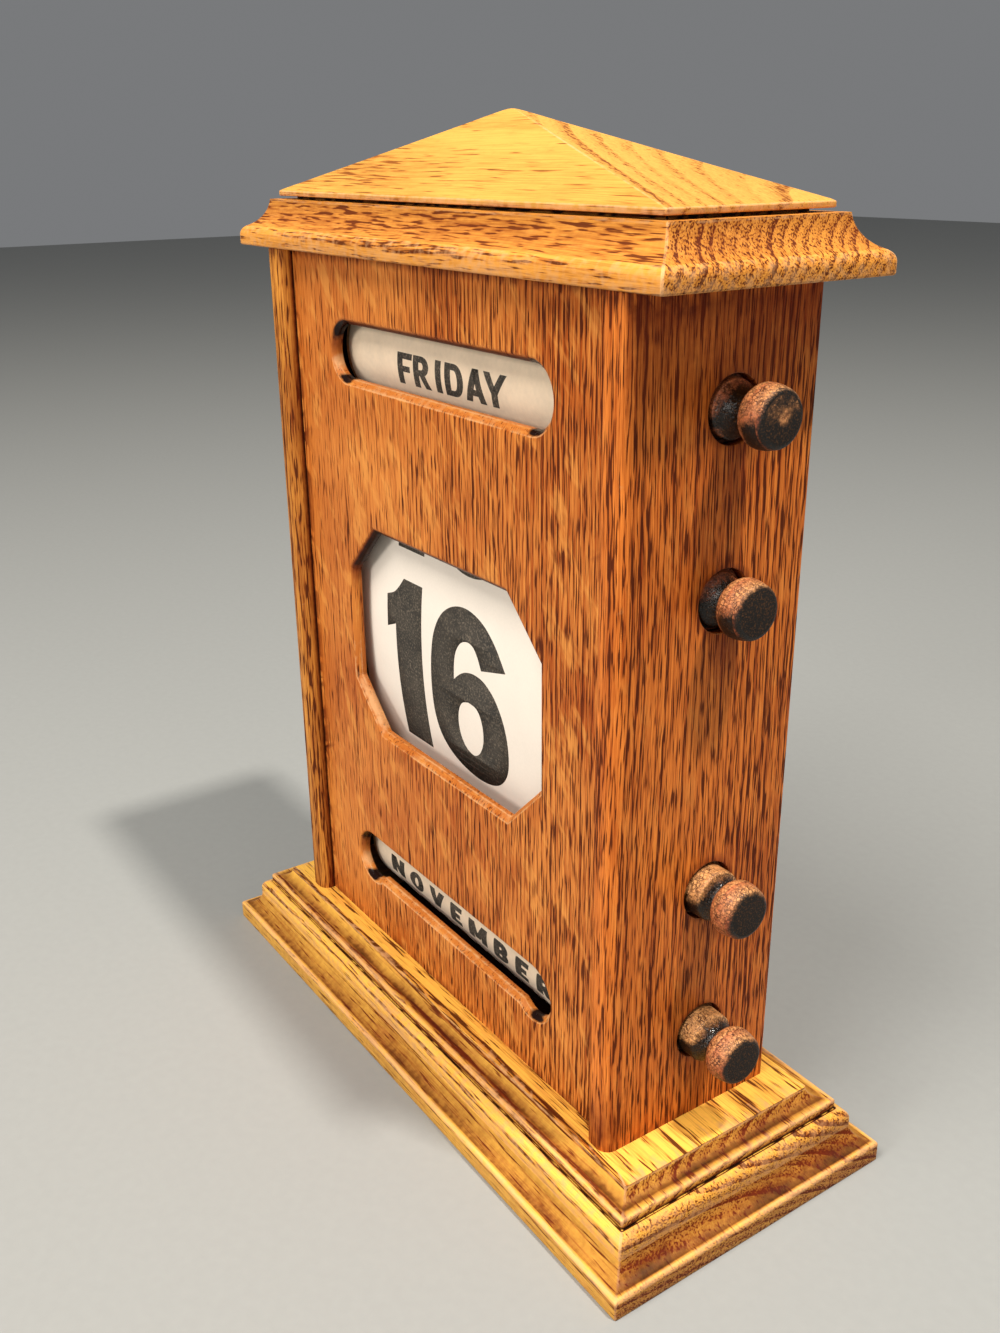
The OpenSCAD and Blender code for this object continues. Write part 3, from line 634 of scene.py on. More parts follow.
def cornice_profile(rise):
    """Nose and hollow of the cornice board, from its underside up. The hollow is the circle that
    touches the nose and passes through the top of the board's slope."""
    soft, nose_r, inset = 0.6 * MM, 3 * MM, 7.5 * MM
    nose = np.array([nose_r, 2.8 * MM])
    hollow_top = rise + 1 * MM
    run, climb = inset - nose_r, hollow_top - nose[1]
    hollow_r = (run ** 2 + climb ** 2 - nose_r ** 2) / (2 * inset)
    hollow = np.array([inset - hollow_r, hollow_top])
    meet = math.degrees(math.atan2(*(hollow - nose)[::-1]))
    top = -math.degrees(math.asin(1 * MM / hollow_r))
    # Each run's second value is its rubbing, its third its dirt and painted shade in the hollow
    return joined((arc((soft, soft), soft, 270, 180, 4), 0.55, 0.1),
                  (arc(nose, nose_r, 180, meet + 4, 8), 0.45, 0.0),
                  (arc(hollow, hollow_r, meet - 178, top - 6, 18), 0.05, 0.25),
                  (arc(hollow, hollow_r, top - 3, top, 2), 0.55, 0.2))


def joined(*parts):
    """Joins runs of profile points, each with a rubbing and a darkening of dirt and painted shade, into
    points, rubbings and darkenings.
    """
    runs, *paints = zip(*parts)
    return [np.concatenate(runs)] + [
        np.concatenate([np.full(len(run), value) for run, value in zip(runs, values)])
        for values in paints]


def hipped_roof(low, high, corner_r):
    """The roof board. Across the edge it is a profile of inset and height: a recessed foot, the
    underside and a thin edge. Above that each outline shrinks towards the middle while it rises in
    proportion, so the four slopes meet in hips and a rounded tip."""
    core, normal, corner = walk_round(80, 30)
    half, middle = spread(low, high)
    gap, edge, soft = 0.9 * MM, 1.5 * MM, 0.35 * MM
    foot = np.array([[4 * MM, 0], [4 * MM, gap], [2 * MM, gap], [soft, gap], [0.1 * MM, gap + 0.1 * MM],
                     [0, gap + soft], [0, gap + edge - soft], [0.12 * MM, gap + edge - 0.1 * MM]])
    foot_wear = np.array([0, 0, 0, 0.3, 0.5, 0.6, 0.5, 0.7])
    out = np.concatenate([[0.985], np.linspace(0.96, 0.06, 42), [0.04, 0.025, 0.012, 0.0]])
    tip = 0.02
    lift = 1 - (np.hypot(out, tip) - tip) / (math.hypot(1, tip) - tip)
    height = np.concatenate([foot[:, 1], gap + edge + (high.z - low.z - gap - edge) * lift])
    upper_r = corner_r * np.minimum(1, out * 6)[:, None, None]
    flat = np.concatenate([core * (half - foot[:, :1, None] - corner_r) + normal * corner_r,
                           core * (half * out[:, None, None] - upper_r) + normal * upper_r])
    grid = raised(middle + flat, low.z + height[:, None])
    uneven = ripple(grid, 60 * MM, 11)
    slope = np.concatenate([np.zeros(len(foot)), np.sin(np.pi * out)])
    grid[..., 2] -= 0.15 * MM * uneven * slope[:, None]
    wear_and_highlight = 0.55 * corner * (0.5 + uneven)
    wear_and_highlight[:len(foot)] = foot_wear[:, None]
    # Painted shade in the shadow gap over the recessed foot
    grime_and_shade = (np.arange(len(grid)) < 3)[:, None]
    underside = np.stack([grid[0], np.broadcast_to([*middle, low.z], grid[0].shape)])
    return [(grid, {"wear_and_highlight": unit(wear_and_highlight), "grime_and_shade": grime_and_shade}), (underside, {})]


# ---------------------------------------------------------------- boards with openings

def rectangle_walk(bottom, right, top, left):
    """The points of a rectangle's outline, anticlockwise from its lower left corner, at given
    places along each edge. Each edge's places run from low to high."""
    return np.concatenate([points(bottom, right[0]), points(bottom[-1], right)[1:],
                           points(top, right[-1])[-2::-1], points(bottom[0], left)[-2::-1]])


def capsule(outer, half_run, radius, sill=0.0):
    """The nearest point to each outer point on a slot with round ends, lying along the first axis.
    Between the ends the lower edge stands above their bottoms by the sill: there the depth below
    the middle is the larger of the sill's and the end circle's, the root of r squared less the
    squared distance from that circle's middle."""
    spine = points(np.clip(outer[:, 0], -half_run, half_run), 0.0)
    edge = spine + radius * outward(outer - spine)
    in_from_end = half_run - np.abs(edge[:, 0])
    circle = np.sqrt(np.maximum(radius ** 2 - in_from_end ** 2, 0))
    between = (in_from_end > 0) & (edge[:, 1] < 0)
    edge[between, 1] = -np.maximum(radius - sill, circle)[between]
    return edge


def cut_rectangle(half_w, half_h, cut):
    """Corners of a rectangle with cut corners, anticlockwise from the middle right."""
    x, y = half_w, half_h
    return np.array([[x, cut - y], [x, y - cut], [x - cut, y], [cut - x, y],
                     [-x, y - cut], [-x, cut - y], [cut - x, -y], [x - cut, -y]])


def along_outline(corners, edge, share):
    """Points at a share of the way along numbered edges of a closed outline."""
    start = corners[edge]
    return start + share[:, None] * (np.roll(corners, -1, 0)[edge] - start)


def crossings(corners, angle):
    """Where rays from the middle cross a closed outline: the edge and the share along it."""
    bearing = np.arctan2(corners[:, 1], corners[:, 0])
    order = np.mod(bearing - bearing[0], 2 * np.pi)
    edge = np.searchsorted(order, np.mod(angle - bearing[0] + 1e-9, 2 * np.pi), side="right") - 1
    ray = np.stack([np.cos(angle), np.sin(angle)], -1)
    start, stop = corners[edge], np.roll(corners, -1, 0)[edge]
    side = start[:, 0] * ray[:, 1] - start[:, 1] * ray[:, 0]
    other = stop[:, 0] * ray[:, 1] - stop[:, 1] * ray[:, 0]
    return edge, np.clip(side / (side - other), 0, 1)


def opening_rows(outer, rim, bevel, arris, depth):
    """Rows of points from a face's outline in to an opening, over its arris and bevel, through the
    board and out to the same outline at the back. rim gives the opening's outline at an inset.
    Returns the rows as (u, v, depth) with each row's rubbing, which also paints light lines as highlight
    on the arris and the bevel's inner edge."""
    at_rim = rim(-arris)
    rows = [(outer + share * (at_rim - outer), 0.0, 0.0) for share in np.linspace(0, 1, 9) ** 0.8]
    # The row values are rubbing and painted highlight: lightest on the arris and at the bevel's inner
    # edge
    rows += [(rim(inset), sunk, rubbed) for inset, sunk, rubbed in (
        (0.15 * arris, 0.25 * arris, 0.8), (0.8 * arris, 0.8 * arris, 0.5),
        (0.5 * bevel, 0.5 * bevel, 0.35), (0.85 * bevel, 0.85 * bevel, 0.45),
        (0.97 * bevel, bevel + 0.12 * MM, 0.85), (bevel, bevel + 0.35 * (depth - bevel), 0.4),
        (bevel, bevel + 0.7 * (depth - bevel), 0.2), (bevel, depth, 0.0))]
    rows.append((outer, depth, 0.0))
    return np.stack([raised(flat, sunk) for flat, sunk, _ in rows]), np.array([row[2] for row in rows])


def panel_patches(low, high, heights, sizes):
    """The front panel: a rectangle round each opening, joined edge to edge. heights are those of
    the month slot, the date window and the day slot."""
    month_z, date_z, day_z = heights
    half_x = (high.x - low.x) / 2
    half_w, half_h = sizes.window_w / 2, sizes.window_h / 2
    slot_r, slot_run = sizes.slot_h / 2, (sizes.slot_w - sizes.slot_h) / 2
    seam_low = (month_z + slot_r + date_z - half_h) / 2
    seam_high = (date_z + half_h + day_z - slot_r) / 2
    frame_low, frame_high = seam_low - date_z, seam_high - date_z
    # Rays from the window's middle: even ones, and ones to the corners of the frame and the window
    corners = cut_rectangle(half_w, half_h, sizes.window_cut)
    marks = np.array([(x, y) for x in (-half_x, half_x) for y in (frame_low, frame_high)])
    marks = np.concatenate([marks, corners])
    even = np.radians(np.arange(-180, 180, 1.25))
    angle = np.unique(np.round(np.append(even, np.arctan2(marks[:, 1], marks[:, 0])), 7))
    ray = points(np.cos(angle), np.sin(angle))
    up = np.where(ray[:, 1] > 0, frame_high, -frame_low)
    reach = 1 / np.maximum(np.abs(ray[:, 0]) / half_x, np.abs(ray[:, 1]) / up)
    outer = np.round(ray * reach[:, None], 8)
    outer = np.concatenate([outer, outer[:1]])
    edge, share = crossings(corners, np.append(angle, angle[0]))

    def window_rim(inset):
        cut = sizes.window_cut - inset * (2 - math.sqrt(2))
        return along_outline(cut_rectangle(half_w - inset, half_h - inset, cut), edge, share)

    def slot_rim(walk, sill):
        return lambda inset: capsule(walk, slot_run, slot_r - inset, sill)

    seam_x = [np.unique(outer[np.abs(outer[:, 1] - level) < 1e-7, 0])
              for level in (frame_low, frame_high)]
    end_x = np.linspace(-half_x, half_x, 81)
    by_ends = np.linspace(38, 47, 19) * MM
    foot_x = np.unique(np.round(np.concatenate([end_x, by_ends, -by_ends]), 7))
    foot_x[0], foot_x[-1] = -half_x, half_x
    month_side, day_side = np.linspace(low.z, seam_low, 29), np.linspace(seam_high, high.z, 29)
    month_walk = rectangle_walk(foot_x, month_side - month_z, seam_x[0], month_side - month_z)
    day_walk = rectangle_walk(seam_x[1], day_side - day_z, end_x, day_side - day_z)
    patches = []
    for walk, rim, level in ((month_walk, slot_rim(month_walk, sizes.sill), month_z),
                             (outer, window_rim, date_z), (day_walk, slot_rim(day_walk, 0.0), day_z)):
        rows, wear_and_highlight = opening_rows(walk, rim, sizes.bevel, sizes.arris_r, high.y - low.y)
        across, rise, sunk = np.moveaxis(rows, -1, 0)
        paint = panel_paint(across, rise, sunk, rise + level, wear_and_highlight, rim is window_rim, low, high)
        patches.append((points(across, low.y + sunk, rise + level), paint))
    window_side = outer[np.abs(outer[:, 0] - half_x) < 1e-7, 1] + date_z
    side_z = np.unique(np.round(np.concatenate([month_side, window_side, day_side]), 8))
    thick = np.array([[low.y], [high.y]])
    edges = [(-half_x, side_z), (half_x, side_z), (foot_x, low.z), (end_x, high.z)]
    return patches + [(points(x, thick, z), {}) for x, z in edges]


def panel_paint(x, rise, sunk, z, wear_and_highlight, is_window, low, high):
    """Painted shade in the corners of the front panel beside the side boards, below the cornice and
    above the plinth, on the upper walls of the openings, in the window's upper left corner and on
    the rear half of the walls; black burns in the slots' drilled ends, on their upper walls also
    painted shade, with brown painted shade that darkens up those walls; rubbing on the arrises,
    painted lighter on the lower edges as highlight, with a painted reflection on the lower left
    bevel of the window and on the lower walls of the drilled ends; and a figure that is plainer
    to the left. rise is a point's height above the middle of its opening, sunk its depth behind
    the face."""
    grid = points(x, low.y + sunk, z)
    # Painted shade beside the side boards, below the cornice and above the plinth
    beside = near(CASE_INNER - np.abs(x), 3.2 * MM)
    above, below = near(high.z - z, 3 * MM) * 0.6, near(z - low.z, 2.5 * MM) * 0.6
    inside = unit(sunk / (0.6 * MM))
    half_height, drilled_from = 34 * MM if is_window else 9.4 * MM, 42 * MM
    level = rise / half_height
    # Painted shade on the openings' upper walls, which face down
    painted_upper_wall_shade = unit(level * 2.4 - 1.1) * inside * 0.8
    # Painted shade on the rear half of the walls
    rear = unit((sunk - 2.2 * MM) / (1 * MM)) * 0.35 * (level > -0.8)
    ends = 0 if is_window else unit((np.abs(x) - drilled_from) / (4 * MM))
    # Black: burns in the drilled ends, and on their upper walls painted shade; brown painted shade
    # darkens up those walls
    burnt_and_shaded = np.maximum(unit(1.8 * level - 0.1), unit(-5 * level - 3.1))
    scorch_and_shade = ends * inside * burnt_and_shaded * (0.75 + 0.5 * ripple(grid, 6 * MM, 3))
    brown = ends * inside * np.clip(0.45 + 0.9 * level, 0, 0.55)
    # Painted shade in the window's upper left corner
    corner = inside * is_window * (x < -30 * MM) * np.clip(3 * level - 0.9, 0, 0.95)
    uneven = 0.45 + 0.75 * ripple(grid, 22 * MM, 5)
    # Rubbing on the arrises, painted lighter on the lower edges as highlight
    rubbed = wear_and_highlight[:, None] * uneven * np.clip(0.35 - 1.3 * level, 0.15, 1)
    # A painted reflection on the lower left bevel of the window and on the lower walls of the drilled
    # ends
    painted_reflection = near(np.abs(level + (0.78 if is_window else 0.4)), 0.3) ** 0.5 * inside
    reflection_part = unit(-x / MM - 34) if is_window else ends
    return {"wear_and_highlight": np.maximum(rubbed, 0.85 * painted_reflection * reflection_part), "black": unit(scorch_and_shade),
            "plain": np.clip(0.45 - x / (110 * MM) + 1.2 * inside, 0, 1.6),
            "grime_and_shade": unit(np.maximum.reduce([beside ** 1.5, above, below, painted_upper_wall_shade, corner, rear, brown]))}


def side_patches(low, high, mirror, holes, sizes):
    """A side board. Its front edges are quarter rounds and it is grooved and rebated inside. The
    right board's outer and inner faces have a rectangle round each knob hole, and each hole's wall
    joins them. holes are the heights of the holes; the left board has none through it."""
    inner, outer = (-high.x, -low.x) if mirror else (low.x, high.x)
    groove, rebate = 2 * MM, 4.5 * MM
    panel_front, panel_back = (corner.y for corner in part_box("front_panel"))
    back_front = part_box("back_panel")[0].y
    r, soft, hole_r = sizes.edge_r, 0.6 * MM, sizes.hole_d / 2
    front_chain = np.concatenate([
        arc((outer - r, low.y + r), r, 0, -90, 9), arc((inner + r, low.y + r), r, 270, 180, 9),
        [[inner, panel_front], [inner + groove, panel_front], [inner + groove, panel_back],
         [inner, panel_back]]])
    rear_chain = np.concatenate([
        [[inner, back_front], [inner + rebate, back_front], [inner + rebate, high.y]],
        arc((outer - soft, high.y - soft), soft, 90, 0, 4)])
    outer_y = np.linspace(front_chain[0, 1], rear_chain[-1, 1], 31)
    inner_y = np.linspace(front_chain[-1, 1], rear_chain[0, 1], 31)
    levels = [low.z] + [(a + b) / 2 for a, b in zip(holes, holes[1:])] + [high.z]
    spans = [np.linspace(a, b, max(9, round((b - a) / (3 * MM)))) for a, b in zip(levels, levels[1:])]
    rows_z = np.unique(np.round(np.concatenate(spans), 8))
    grids = [(points(chain[:, :1], chain[:, 1:], rows_z), 0.0) for chain in (front_chain, rear_chain)]
    if mirror:
        grids += [(points(x, ys[:, None], rows_z), 0.0)
                  for x, ys in ((outer, outer_y), (inner, inner_y))]
    else:
        axis_y = reel_box("day_drum")[2][0]
        for z, span in zip(holes, spans):
            out_walk, in_walk = (rectangle_walk(*(ys - axis_y, span - z) * 2)
                                 for ys in (outer_y, inner_y))
            away = outward(out_walk)
            rows = [(out_walk + share * (away * (hole_r + 0.3 * MM) - out_walk), outer, 0.0)
                    for share in np.linspace(0, 1, 10) ** 0.7]
            rows += [(away * (hole_r + 0.08 * MM), outer - 0.08 * MM, 0.5),
                     (away * hole_r, outer - 0.3 * MM, 0.2), (away * hole_r, outer - 3 * MM, 0.0),
                     (away * hole_r, inner, 0.0), (in_walk, inner, 0.0)]
            grid = np.stack([points(x, walk[:, 0] + axis_y, walk[:, 1] + z) for walk, x, _ in rows])
            grids.append((grid, np.array([row[2] for row in rows])[:, None]))
    patches = [(grid, side_paint(grid, rubbed, low, high, inner, outer, holes, mirror))
               for grid, rubbed in grids]
    outline = np.concatenate([front_chain[:-1], points(inner, inner_y), rear_chain[1:-1],
                              points(outer, outer_y)[:0:-1]])
    patches += [(raised(outline, z), {}) for z in (low.z, high.z)]
    if mirror:
        for grid, _ in patches:
            grid[..., 0] *= -1
    return patches


def side_paint(grid, rubbed, low, high, inner, outer, holes, mirror):
    """Rubbing on the rounded front arrises; painted shade on the inner face, in the groove, the rebate
    and deep in the knob holes, and at the board's top and foot; on the right board a painted shadow
    of the cornice over its upper part, a dark patch at the post's foot, streaks of dirt below the
    knob holes and dirt with painted shade round them. rubbed is the least rubbing of each row."""
    x, y, z = np.moveaxis(grid, -1, 0)
    uneven = ripple(grid, 26 * MM, 8 if mirror else 9)
    turn = np.minimum(np.abs(x - inner), np.abs(x - outer)) + np.abs(y - low.y)
    wear_and_highlight = np.maximum(near(turn, 3.2 * MM) * (0.25 + 0.55 * uneven), rubbed)
    # Painted shade on the inner face, in the groove, the rebate and the holes, and at the top and foot
    beside = (np.abs(x - inner) < 0.1 * MM) * unit((y - low.y - 2.5 * MM) / (2 * MM))
    deep = ((x > inner + 0.1 * MM) & (x < outer - 2 * MM) & (y > low.y + 9 * MM)) * 0.7
    dirt_and_shade_layers = [beside, deep, near(high.z - z, 3 * MM) * 0.5, near(z - low.z, 3 * MM) * 0.5]
    if not mirror:
        # A painted shadow of the cornice on the right board's upper part
        painted_cornice_shadow = near(high.z - z, 28 * MM) ** 0.6 * (x > outer - 1 * MM)
        dirt_and_shade_layers.append(painted_cornice_shadow * (0.42 + 0.4 * uneven) * unit(1.2 - (y - low.y) / (110 * MM)))
        foot = np.exp(-((z - low.z - 8 * MM) / (9 * MM)) ** 2) * (y < low.y + 5 * MM)
        dirt_and_shade_layers.append(foot * (0.15 + 0.5 * uneven))
        from_axis = y - reel_box("day_drum")[2][0]
        for level in holes:
            aside, drop = (from_axis - 1 * MM) / (4.5 * MM), (level - z) / (26 * MM)
            amount = 0.9 if level > 0.15 else 0.35
            dirt_and_shade_layers.append(amount * np.exp(-aside ** 2) * (drop > 0) * np.exp(-drop ** 2) * uneven)
            # Dirt and painted shade round each hole
            rim = np.hypot(from_axis, z - level) / (8 * MM)
            dirt_and_shade_layers.append(np.clip(2.4 - 2 * rim, 0, 0.45))
    return {"wear_and_highlight": wear_and_highlight, "grime_and_shade": unit(np.maximum.reduce(dirt_and_shade_layers))}


# ---------------------------------------------------------------- print

# A letter is as tall as 1. These are the widths of its upright and its level strokes, and the
# foot of a middle and of a top stroke
STEM, BAR, MID = 0.235, 0.19, 0.405
TOP = 1 - BAR


def stem(x, low=0.0, high=1.0, foot=None, width=STEM):
    """An upright or slanting stroke: a grid of points between its left and right edges, from the
    foot's place at its lower end to x at its upper end."""
    rise = np.linspace(0, 1, 13)[:, None]
    left = (x if foot is None else foot) * (1 - rise) + x * rise
    return points(left + np.array([0, width]), low + rise * (high - low))


def bar(start, stop, y):
    """A level stroke."""
    return points(np.linspace(start, stop, 5)[:, None], np.array([y, y + BAR]))


def bowl(x, y, half_w, half_h, start=-90, stop=90):
    """A round stroke between two ellipses, wide at its sides and thin at its top and foot."""
    angle = np.radians(np.linspace(start, stop, max(7, round(abs(stop - start) / 9))))[:, None]
    return points(x + np.array([half_w - STEM, half_w]) * np.cos(angle),
                  y + np.array([half_h - BAR, half_h]) * np.sin(angle))


# Each letter's width and strokes
LETTERS = {
    "A": (0.78, [stem(0.2725, foot=0), stem(0.2725, foot=0.545), bar(0.14, 0.64, 0.2)]),
    "B": (0.68, [stem(0), bar(0, 0.36, 0), bar(0, 0.34, MID), bar(0, 0.34, TOP),
                 bowl(0.34, 0.7025, 0.31, 0.2975), bowl(0.36, 0.2975, 0.32, 0.2975)]),
    "C": (0.68, [bowl(0.35, 0.5, 0.35, 0.5, 48, 312)]),
    "D": (0.74, [stem(0), bar(0, 0.36, 0), bar(0, 0.36, TOP), bowl(0.36, 0.5, 0.38, 0.5)]),
    "E": (0.6, [stem(0), bar(0, 0.6, 0), bar(0, 0.52, MID), bar(0, 0.6, TOP)]),
    "F": (0.64, [stem(0), bar(0, 0.54, MID), bar(0, 0.64, TOP)]),
    "G": (0.7, [bowl(0.35, 0.5, 0.35, 0.5, 48, 312), bar(0.36, 0.7, 0.34), stem(0.465, 0.08, 0.45)]),
    "H": (0.74, [stem(0), stem(0.505), bar(0, 0.74, MID)]),
    "I": (0.235, [stem(0)]),
    "J": (0.54, [stem(0.305, 0.3), bowl(0.27, 0.3, 0.27, 0.3, 180, 360)]),
    "L": (0.54, [stem(0), bar(0, 0.54, 0)]),
    "M": (0.92, [stem(0), stem(0.685), stem(0.05, 0.15, 1, foot=0.37, width=0.18),
                 stem(0.69, 0.15, 1, foot=0.37, width=0.18)]),
    "N": (0.76, [stem(0), stem(0.525), stem(0, foot=0.525)]),
    "O": (0.76, [bowl(0.38, 0.5, 0.38, 0.5, 0, 360)]),
    "P": (0.66, [stem(0), bar(0, 0.34, 0.39), bar(0, 0.34, TOP), bowl(0.34, 0.695, 0.32, 0.305)]),
    "R": (0.7, [stem(0), bar(0, 0.34, 0.39), bar(0, 0.34, TOP), bowl(0.34, 0.695, 0.32, 0.305),
                stem(0.26, 0, 0.42, foot=0.465)]),
    "S": (0.64, [bowl(0.32, 0.7025, 0.32, 0.2975, 20, 270),
                 bowl(0.32, 0.2975, 0.32, 0.2975, -160, 90)]),
    "T": (0.66, [stem(0.2125), bar(0, 0.66, TOP)]),
    "U": (0.74, [stem(0, 0.37), stem(0.505, 0.37), bowl(0.37, 0.37, 0.37, 0.37, 180, 360)]),
    "V": (0.8, [stem(0, foot=0.2825), stem(0.565, foot=0.2825)]),
    "W": (1.1, [stem(0, foot=0.21), stem(0.4325, foot=0.21), stem(0.4325, foot=0.655),
                stem(0.865, foot=0.655)]),
    "Y": (0.86, [stem(0, MID, 1, foot=0.3125), stem(0.625, MID, 1, foot=0.3125), stem(0.3125, 0, 0.5)]),
}
# How much farther than usual two letters stand from each other, as a share of their height
KERN = {"FR": -0.06, "RI": 0.12, "ID": 0.04, "DA": -0.05, "AY": -0.2, "AT": -0.1, "TA": -0.1}
DAYS = ("SUNDAY", "MONDAY", "TUESDAY", "WEDNESDAY", "THURSDAY", "FRIDAY", "SATURDAY")
MONTHS = ("JANUARY", "FEBRUARY", "MARCH", "APRIL", "MAY", "JUNE", "JULY", "AUGUST", "SEPTEMBER",
          "OCTOBER", "NOVEMBER", "DECEMBER")
# How far round from the front the foot of the name that shows stands
FOOT_ANGLE = math.radians(-19.8)


def drum_print(node, names, shown, height, stretch, gap, lean, shift, bold, ink):
    """The names round a drum, one at each share of a turn. A letter's stroke is a grid on the flat,
    made bolder by moving its two edges apart, stretched, leant over and spaced. It is then wrapped
    on a circle a little above the band and closed into a thin solid by the same grid a little below
    the band's face."""
    _, _, centre, radius = reel_box(node)
    patches = []
    for number, name in enumerate(names):
        turn = FOOT_ANGLE + (shown - number) * 2 * math.pi / len(names)
        widths = [LETTERS[letter][0] * height * stretch for letter in name]
        pairs = map("".join, zip(name, name[1:] + " "))
        kerns = [KERN.get(pair, 0) * height * stretch for pair in pairs]
        pen = shift - (sum(widths) + sum(kerns) + gap * (len(name) - 1)) / 2
        for letter, width, kern in zip(name, widths, kerns):
            for stroke in LETTERS[letter][1]:
                breadth = stroke[:, 1] - stroke[:, 0]
                breadth *= bold / np.linalg.norm(breadth, axis=1)[:, None]
                stroke = stroke + np.stack([-breadth, breadth], 1)
                rise = stroke[..., 1] * height
                across = pen + stroke[..., 0] * height * stretch + lean * rise
                patches += slab(*(wrapped(across, r, turn + rise / radius, centre)
                                  for r in (radius + ink, radius - ink)))
            pen += width + kern + gap
    return patches


def spline(knots, steps=6):
    """A smooth curve through knots: Catmull-Rom pieces, with the end knots doubled."""
    knots = np.array([knots[0], *knots, knots[-1]], float)
    a, b, c, d = (knots[i:len(knots) - 3 + i, None] for i in range(4))
    t = np.linspace(0, 1, steps + 1)[:-1, None]
    pieces = 0.5 * (2 * b + (c - a) * t + (2 * a - 5 * b + 4 * c - d) * t ** 2
                    + (3 * b - a - 3 * c + d) * t ** 3)
    return pieces.reshape(-1, 2)


def outline(*runs):
    """A closed outline of runs that meet at corners. A run goes from the end of the one before it
    through its own points: straight if it has one, and on a smooth curve if it has more."""
    starts = [run[-1] for run in runs[-1:] + runs[:-1]]
    return np.concatenate([spline([start] + run) if len(run) > 1 else [start]
                           for start, run in zip(starts, runs)])


# Numerals in mm: places across the strip, and along it from the middle of the window
ONE = outline([(-18.8, 18.5)], [(-19, -34.5)], [(-33.8, -34.5)], [(-34, 3)], [(-39, 1)],
              [(-39, 11.5)], [(-35, 13), (-32, 15.5), (-29.5, 18.5)])
SIX = outline([(13.3, 2.7)],
              [(11.5, 6), (9.2, 8.4), (6.3, 9.1), (3, 8), (0.6, 5.3), (-0.7, 1.5), (-1.2, -4.5)],
              [(2, -2), (5.5, -0.3), (10, 0.4), (15, -0.5), (20.3, -4.2), (24, -10.5), (25.2, -17.5),
               (24, -24.8), (20.3, -30.2), (15, -33.5), (8, -34.8), (1, -34.2), (-6, -31.7),
               (-11.3, -27), (-13.8, -20), (-14.2, -11), (-13.5, -1), (-11.8, 7), (-8, 13.4), (-2, 17.4),
               (5.5, 18.6), (13.5, 16.6), (20, 12), (25.2, 5.7)])
SIX_EYE = spline([(6, -9.5), (9.8, -10), (12, -12.4), (12.8, -16.5), (12, -21), (9.4, -25), (6, -26.9),
                  (2.4, -25.8), (0.2, -22.6), (-0.4, -18.5), (0.4, -14), (2.6, -10.8), (6, -9.5)])
FIVE_BOWL = np.concatenate([arc((0, 0), 1, 200, 340, 30), arc((0, 0), 0.4, 340, 200, 30)])
FIVE_BOWL = FIVE_BOWL * (19.5, 14.4) + (5, -20)


def printed(name, shapes, bow, ink):
    """Fills outlines, which may have an eye, and bends them on the strip: a distance along the
    strip becomes an angle about the centre of its bow. Cuts across each fill every 2 mm let it
    bend, and what would lie beyond the strip's end is cut off. shapes are loops and their lift
    along the strip."""
    shell = bmesh.new()
    for loops, lift in shapes:
        flat = [[Vector((x * MM, y * MM + lift, 0)) for x, y in loop] for loop in loops]
        corners = [shell.verts.new(point) for loop in flat for point in loop]
        for face in tessellate_polygon(flat):
            shell.faces.new([corners[i] for i in face])
    reach = bow["reach"]
    for level in [*np.arange(-reach, reach, 2 * MM), reach]:
        everything = shell.verts[:] + shell.edges[:] + shell.faces[:]
        bmesh.ops.bisect_plane(shell, geom=everything, plane_co=(0, level, 0), plane_no=(0, 1, 0),
                               dist=1e-7, clear_outer=bool(level == reach))
    for vertex in shell.verts:
        angle = vertex.co.y / bow["radius"]
        vertex.co = wrapped(vertex.co.x, bow["radius"] + ink, angle, bow["centre"])
    bmesh.ops.recalc_face_normals(shell, faces=shell.faces)
    mesh = bpy.data.meshes.new(name)
    shell.to_mesh(mesh)
    shell.free()
    if sum(face.normal.y for face in mesh.polygons) > 0:
        mesh.flip_normals()
    piece = finished(name, mesh)
    wall = piece.modifiers.new("Ink", "SOLIDIFY")
    wall.thickness = 2 * ink
    wall.offset = -1
    return piece


def strip_bow(node):
    """The circle that the front of the number strip bends round, from the depth of its bow and half
    its height: r is the sum of their squares over twice the depth. The node's box is deeper by the
    strip's thickness, slanted as its ends are, so the radius is found first roughly, then well."""
    low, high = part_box(node)
    half, cosine = (high.z - low.z) / 2, 1.0
    for _ in range(2):
        depth = high.y - low.y - STRIP_THICKNESS * cosine
        radius = (half ** 2 + depth ** 2) / (2 * depth)
        cosine = math.sqrt(1 - (half / radius) ** 2)
    angle = math.asin(half / radius)
    return {"radius": radius, "centre": (low.y + radius, (low.z + high.z) / 2), "angle": angle,
            "reach": radius * angle - 0.3 * MM}


# ---------------------------------------------------------------- operators

class CALENDAR_OT_plinth(bpy.types.Operator):
    """Makes the two moulded boards of the plinth"""
    bl_idname = "calendar.plinth"
    bl_label = "Plinth"

    def execute(self, context):
        sizes = context.scene.calendar_sizes
        low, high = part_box("plinth_screws")
        head = Vector((sizes.screw_d, sizes.screw_d, 0))
        low, high = low + head, high - head
        screws = [np.array((x, y)) for x in (low.x, high.x) for y in (low.y, high.y)]
        for node, section, pith, seed, inside, below in (
                ("plinth_lower", lower_profile, (250, -60), 21, None, screws),
                ("plinth_upper", upper_profile, (110, 60), 25, -1, ())):
            low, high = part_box(node)
            patches = moulded(low, high, section(high.z - low.z), sizes.mitre_r, seed, inside, 0.12,
                              below, sizes.screw_d)
            material = oak("oak_" + node, "gold", grain="x", pith=pith, ring=2.6, tone=0.06, dash=0.8,
                           dash_size=(0.46, 9), uneven=0.5, dense=-0.07, band=0.28, thirst=1.0,
                           shift=40 * seed)
            dress(surface(node + "_board", patches), material, "case", "oak_mouldings", node)
        return {"FINISHED"}


